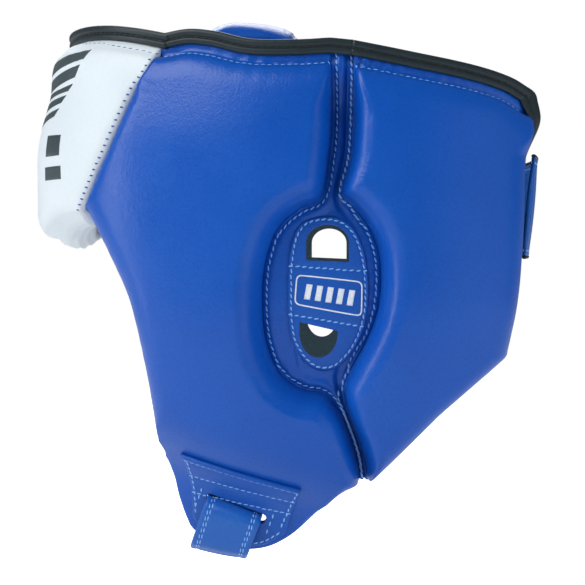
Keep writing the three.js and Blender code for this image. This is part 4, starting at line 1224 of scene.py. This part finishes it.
REAR_WIDE, REAR_HEIGHT, TRIM_INSET = 46, 39, 0.4
rear_stations = []
for x, y, lean in [(51.6, 92.4, 0.09), (40, 94.6, 0.09), (20, 97.4, 0.09), (0, 98.8, 0.09),
                   (-20, 98.8, 0.09), (-40, 98.2, 0.09), (-58, 95.4, 0.06), (-74, 89, 0.02),
                   (-84.6, 81, 0.02), (-90.8, 70.4, 0.01), (-95, 60, 0.01), (-98, 50.4, 0)]:
    way = np.array([0, lean, 1])
    rear_stations.append((np.array([x, y, REAR_HEIGHT]), way / np.linalg.norm(way)))
rear_strap, rear_path, rear_across, rear_up = strap(
    "rear_strap_leather", rear_stations, strap_section(REAR_WIDE, 1.8, 0.5), STRAP_LEATHER)
turns = np.linspace(0, 2 * math.pi, 11)[:-1]
trims = []
for edge in (-1, 1):
    middle = rear_path + rear_across * edge * (REAR_WIDE / 2 - TRIM_INSET)
    trims.append(tube(f"rear_strap_trim_{'lower' if edge < 0 else 'upper'}", middle[:, None]
                      + 0.9 * np.cos(turns)[None, :, None] * rear_across[:, None]
                      + 1.1 * np.sin(turns)[None, :, None] * rear_up[:, None], BLACK_PIPING))
for piece, slot in ((rear_strap, "strap_leather"), (trims[0], "binding_tape"),
                    (trims[1], "binding_tape")):
    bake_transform(piece)
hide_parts("rear_strap")


# ---- Stitching ----
# Every seam is a row of short twisted stitches, sunk a little in the leather. One node tree
# lays them along lines that carry the leather's own normal.

rows_tree = bpy.data.node_groups.new("Stitch rows", "GeometryNodeTree")
for label, kind in (("Lines", "NodeSocketGeometry"), ("Pitch", "NodeSocketFloat"),
                    ("Length", "NodeSocketFloat"), ("Width", "NodeSocketFloat"),
                    ("Lean", "NodeSocketFloat"), ("Thread", "NodeSocketMaterial")):
    rows_tree.interface.new_socket(label, in_out="INPUT", socket_type=kind)
rows_tree.interface.new_socket("Stitches", in_out="OUTPUT", socket_type="NodeSocketGeometry")
row_nodes, row_links = rows_tree.nodes, rows_tree.links
rows_in, rows_out = row_nodes.new("NodeGroupInput"), row_nodes.new("NodeGroupOutput")
to_curve = row_nodes.new("GeometryNodeMeshToCurve")
spaced = row_nodes.new("GeometryNodeResampleCurve")
spaced.mode = "LENGTH"
ball = row_nodes.new("GeometryNodeMeshUVSphere")
ball.inputs["Segments"].default_value = 8
ball.inputs["Rings"].default_value = 5
ball.inputs["Radius"].default_value = 0.5
stretch = row_nodes.new("ShaderNodeCombineXYZ")
flat_side = row_nodes.new("ShaderNodeMath")
flat_side.operation = "MULTIPLY"
flat_side.inputs[1].default_value = 0.62
shaped_ball = row_nodes.new("GeometryNodeTransform")
rounded = row_nodes.new("GeometryNodeSetShadeSmooth")
placed = row_nodes.new("GeometryNodeInstanceOnPoints")
lift = row_nodes.new("GeometryNodeInputNamedAttribute")
lift.data_type = "FLOAT_VECTOR"
lift.inputs["Name"].default_value = "lift"
tangent = row_nodes.new("GeometryNodeInputTangent")
facing = row_nodes.new("FunctionNodeAxesToRotation")
facing.primary_axis, facing.secondary_axis = "Z", "X"
turned = row_nodes.new("FunctionNodeRotateRotation")
turned.rotation_space = "LOCAL"
lean_turn = row_nodes.new("FunctionNodeAxisAngleToRotation")
real = row_nodes.new("GeometryNodeRealizeInstances")
threaded = row_nodes.new("GeometryNodeSetMaterial")
for source, target in (
        (rows_in.outputs["Lines"], to_curve.inputs["Mesh"]),
        (to_curve.outputs["Curve"], spaced.inputs["Curve"]),
        (rows_in.outputs["Pitch"], spaced.inputs["Length"]),
        (spaced.outputs["Curve"], placed.inputs["Points"]),
        (rows_in.outputs["Length"], stretch.inputs["X"]),
        (rows_in.outputs["Width"], stretch.inputs["Y"]),
        (rows_in.outputs["Width"], flat_side.inputs[0]),
        (flat_side.outputs[0], stretch.inputs["Z"]),
        (ball.outputs["Mesh"], shaped_ball.inputs["Geometry"]),
        (stretch.outputs["Vector"], shaped_ball.inputs["Scale"]),
        (shaped_ball.outputs["Geometry"], rounded.inputs["Geometry"]),
        (rounded.outputs["Geometry"], placed.inputs["Instance"]),
        (lift.outputs["Attribute"], facing.inputs["Primary Axis"]),
        (tangent.outputs["Tangent"], facing.inputs["Secondary Axis"]),
        (facing.outputs["Rotation"], turned.inputs["Rotation"]),
        (rows_in.outputs["Lean"], lean_turn.inputs["Angle"]),
        (lean_turn.outputs["Rotation"], turned.inputs["Rotate By"]),
        (turned.outputs["Rotation"], placed.inputs["Rotation"]),
        (placed.outputs["Instances"], real.inputs["Geometry"]),
        (real.outputs["Geometry"], threaded.inputs["Geometry"]),
        (rows_in.outputs["Thread"], threaded.inputs["Material"]),
        (threaded.outputs["Geometry"], rows_out.inputs["Stitches"])):
    row_links.new(source, target)
row_socket = {item.name: item.identifier for item in rows_tree.interface.items_tree
              if item.in_out == "INPUT"}


def sewn_rows(name, lines, thread, pitch=3.4, length=2.7, width=0.75, lean=0.16):
    """Stitches along lines, each a pair of points and normals in mm."""
    points, edges, normals = [], [], []
    for line, normal in lines:
        base = len(points)
        points += (np.asarray(line) * MM).tolist()
        normals.append(normal)
        edges += [(base + k, base + k + 1) for k in range(len(line) - 1)]
    mesh = bpy.data.meshes.new(name)
    mesh.from_pydata(points, edges, [])
    up = mesh.attributes.new("lift", "FLOAT_VECTOR", "POINT")
    up.data.foreach_set("vector", np.vstack(normals).astype(np.float32).ravel())
    guide = bpy.data.objects.new(name, mesh)
    scene.collection.objects.link(guide)
    rows = guide.modifiers.new("rows", "NODES")
    rows.node_group = rows_tree
    for label, value in (("Pitch", pitch * MM), ("Length", length * MM), ("Width", width * MM),
                         ("Lean", lean), ("Thread", thread)):
        rows[row_socket[label]] = value
    sewn = guide.evaluated_get(bpy.context.evaluated_depsgraph_get())
    made = bpy.data.meshes.new_from_object(sewn)
    guide.modifiers.clear()
    old, guide.data = guide.data, made
    bpy.data.meshes.remove(old)
    made.name = name
    return guide


def moved_in(line, distance):
    """A line moved sideways: to the right of its own direction, seen from outside."""
    return line + inward_of(line) * distance


def on_side(line, piece_tree, height, sink=-0.05):
    line = evenly(line, 0.8)
    heights = height(line) if callable(height) else np.full(len(line), float(height))
    return settled(side_form(line, heights), piece_tree, sink)


side_tree, wing_tree = surface_tree(side_pad), surface_tree(wing_pad)
ear_tree = surface_tree(ear_leather)
shell_lines = [on_side(moved_in(SIDE_RIM, STITCH_LINE), side_tree, 16)]
wing_lines = [on_side(along(moved_in(WING_RIM, STITCH_LINE), np.linspace(0.02, 0.98, 90)),
                      wing_tree, 16)]
front_fold = moved_in(FOLD_FRONT, -1.0)
rear_fold = moved_in(FOLD_REAR, 1.0)
def over_fold(line):
    return flare_at(reach_of(line, fold_top)[0]) + 5


fold_lines = [on_side(along(line, np.linspace(0.028, 0.99, 300)), ear_tree,
                      over_fold) for line in (front_fold, rear_fold)]
patch_loop = trace(evenly(patch_outline, 6), 8)
patch_lines = [on_side(moved_in(patch_loop, 1.5), ear_patch_tree, 5)]
patch_lines += [on_side(np.linspace(a, b, 20), ear_patch_tree, 5) for a, b in PATCH_LINES]
chin_sides = [np.linspace(chin_top[k] + [shift, -3], chin_foot[k] + [shift, 4], 20) for k,
              shift in ((0, 1.8), (-1, -1.8))]
across_slot = np.array([math.cos(SLOT["slope"]), -math.sin(SLOT["slope"])])
down_slot = np.array([-math.sin(SLOT["slope"]), -math.cos(SLOT["slope"])])
for end in (-1, 1):
    beside = SLOT["place"] + across_slot * end * (SLOT["length"] / 2 + 1.8)
    chin_sides.append(np.linspace(beside - down_slot * 3.4, beside + down_slot * 4.2, 12))
chin_sides.append(moved_in(chin_foot, -1.9)[6:-6])
chin_lines = []
for line in (*CHIN_LINES, *chin_sides):
    chin_lines.append(on_side(line, chin_patch_tree, lambda places: side_relief(places)[1] + 2.2))


# How far a stitch's middle stands off a strap's middle layer.
THREAD_LIFT = 0.72


def strap_rows(path, across, up, insets, half, height):
    """Rows along both long edges of a strap, on both of its faces."""
    rows = []
    for edge in (-1, 1):
        for inset in insets:
            for face in (-1, 1):
                rows.append((path + across * edge * (half - inset) + up * height * face, up * face))
    return rows


stitch_sets = [
    ("rim_stitches", shell_lines, BLUE_THREAD, None, {"pitch": 2.8, "length": 2.3, "width": 0.8}),
    ("wing_stitches", wing_lines, BLUE_THREAD, "wing", {"pitch": 2.8, "length": 2.3, "width": 0.8}),
    ("fold_stitches", fold_lines, BLUE_THREAD, "fold",
     {"pitch": 2.9, "length": 2.7, "width": 0.9, "lean": 0.3}),
    ("ear_patch_stitches", patch_lines, BLUE_THREAD, "fold",
     {"pitch": 2.7, "length": 2.4, "width": 0.75, "lean": 0.25}),
    ("chin_patch_stitches", chin_lines, BLUE_THREAD, None,
     {"pitch": 2.8, "length": 2.4, "width": 0.75})]
for name, lines, thread, where, sizes in stitch_sets:
    left = sewn_rows(f"{name}_left", lines, thread, **sizes)
    for hand, piece in (("left", left), ("right", mirrored(left, f"{name}_right"))):
        if where == "fold":
            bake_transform(piece)
        else:
            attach(piece, f"wing_{hand}" if where == "wing" else "shell")

# The brow seam is sewn in blue across the join, and shows as short ticks on the white.
ticks = []
for sign, column in ((1, -1), (-1, 0)):
    edge = brow_grid[column]
    line = evenly(edge + [-sign * 0.75, 0], 0.8)[14:-2]
    ticks.append(settled(front_form(line, np.full(len(line), 21.0)), brow_tree, 0.0))
seam_ticks = sewn_rows("seam_ticks", ticks, NAVY_THREAD, 3.0, 1.7, 0.8, math.pi / 2 + 0.35)
brow_row = evenly(brow_grid[:, 0], 0.8) - [0, STITCH_LINE]
brow_stitches = sewn_rows("brow_stitches",
                          [settled(front_form(brow_row, np.full(len(brow_row), 17.0)), brow_tree,
                                   -0.1)],
                          NAVY_THREAD, 3.4, 2.4, 0.6)
strap_thread = sewn_rows("chin_strap_stitches",
                         strap_rows(chin_path, chin_across, chin_up, (2.6, 3.8), CHIN_WIDE / 2,
                                    THREAD_LIFT), BLUE_THREAD, 3.0, 2.4, 0.55)
tail_thread = sewn_rows("chin_tail_stitches",
                        strap_rows(tail_path, tail_across, tail_up, (2.6, 3.8), CHIN_WIDE / 2,
                                   THREAD_LIFT), BLUE_THREAD, 3.0, 2.4, 0.55)
rear_thread = sewn_rows("rear_strap_stitches",
                        strap_rows(rear_path, rear_across, rear_up, (3.4,), REAR_WIDE / 2,
                                   THREAD_LIFT),
                        BLUE_THREAD, 3.4, 2.7, 0.7)
crown_row = []
for b in (-1, 1):
    line = np.stack([np.linspace(6, crown_length - 6, 120),
                     np.full(120, CROWN_Y + b * (CROWN_WIDE / 2 - 3.2))], -1)
    crown_row.append(settled(crown_form(line, np.full(120, 9.0)), surface_tree(crown_pad), -0.1))
crown_thread = sewn_rows("crown_stitches", crown_row, BLUE_THREAD)
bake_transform(tail_thread)
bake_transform(rear_thread)
for piece, body in ((seam_ticks, "shell"), (brow_stitches, "shell"), (strap_thread, "shell"),
                    (crown_thread, "crown_flap")):
    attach(piece, body)

# The piping is sewn through between its two rolls, in black.
piping_sets = [("rim_piping_stitches", rim_line, rim_tops, rim_leg, "fold"),
               ("wing_piping_stitches", wing_line, wing_high, wing_leg, "wing")]
for name, line, tops, leg, where in piping_sets:
    path = seam_of_piping(line, tops, leg, side_form)
    above = seam_of_piping(line, tops + 1, leg, side_form) - path
    left = sewn_rows(f"{name}_left", [(path, above)], BLACK_THREAD, 3.2, 2.5, 0.6, 0.0)
    for hand, piece in (("left", left), ("right", mirrored(left, f"{name}_right"))):
        if where == "fold":
            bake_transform(piece)
        else:
            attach(piece, f"wing_{hand}")
brow_path = seam_of_piping(brow_line, brow_tops, np.full(len(brow_line), 5.5), front_form)
brow_above = seam_of_piping(brow_line, brow_tops + 1, np.full(len(brow_line), 5.5),
                            front_form) - brow_path
brow_tape = sewn_rows("brow_piping_stitches", [(brow_path, brow_above)], BLACK_THREAD, 3.2, 2.5,
                      0.6, 0.0)
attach(brow_tape, "shell")


# ---- Hook and loop ----
# The fasteners are plain sewn-on tapes, so they keep their own simple shapes.

for node in ("crown_hook_tape", "crown_loop_tape", "chin_loop_tape", "chin_hook_tape",
             "rear_loop_patch_right", "rear_hook_patch_right"):
    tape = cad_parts[node]
    tape.data.materials.clear()
    tape.data.materials.append(HOOK_AND_LOOP)
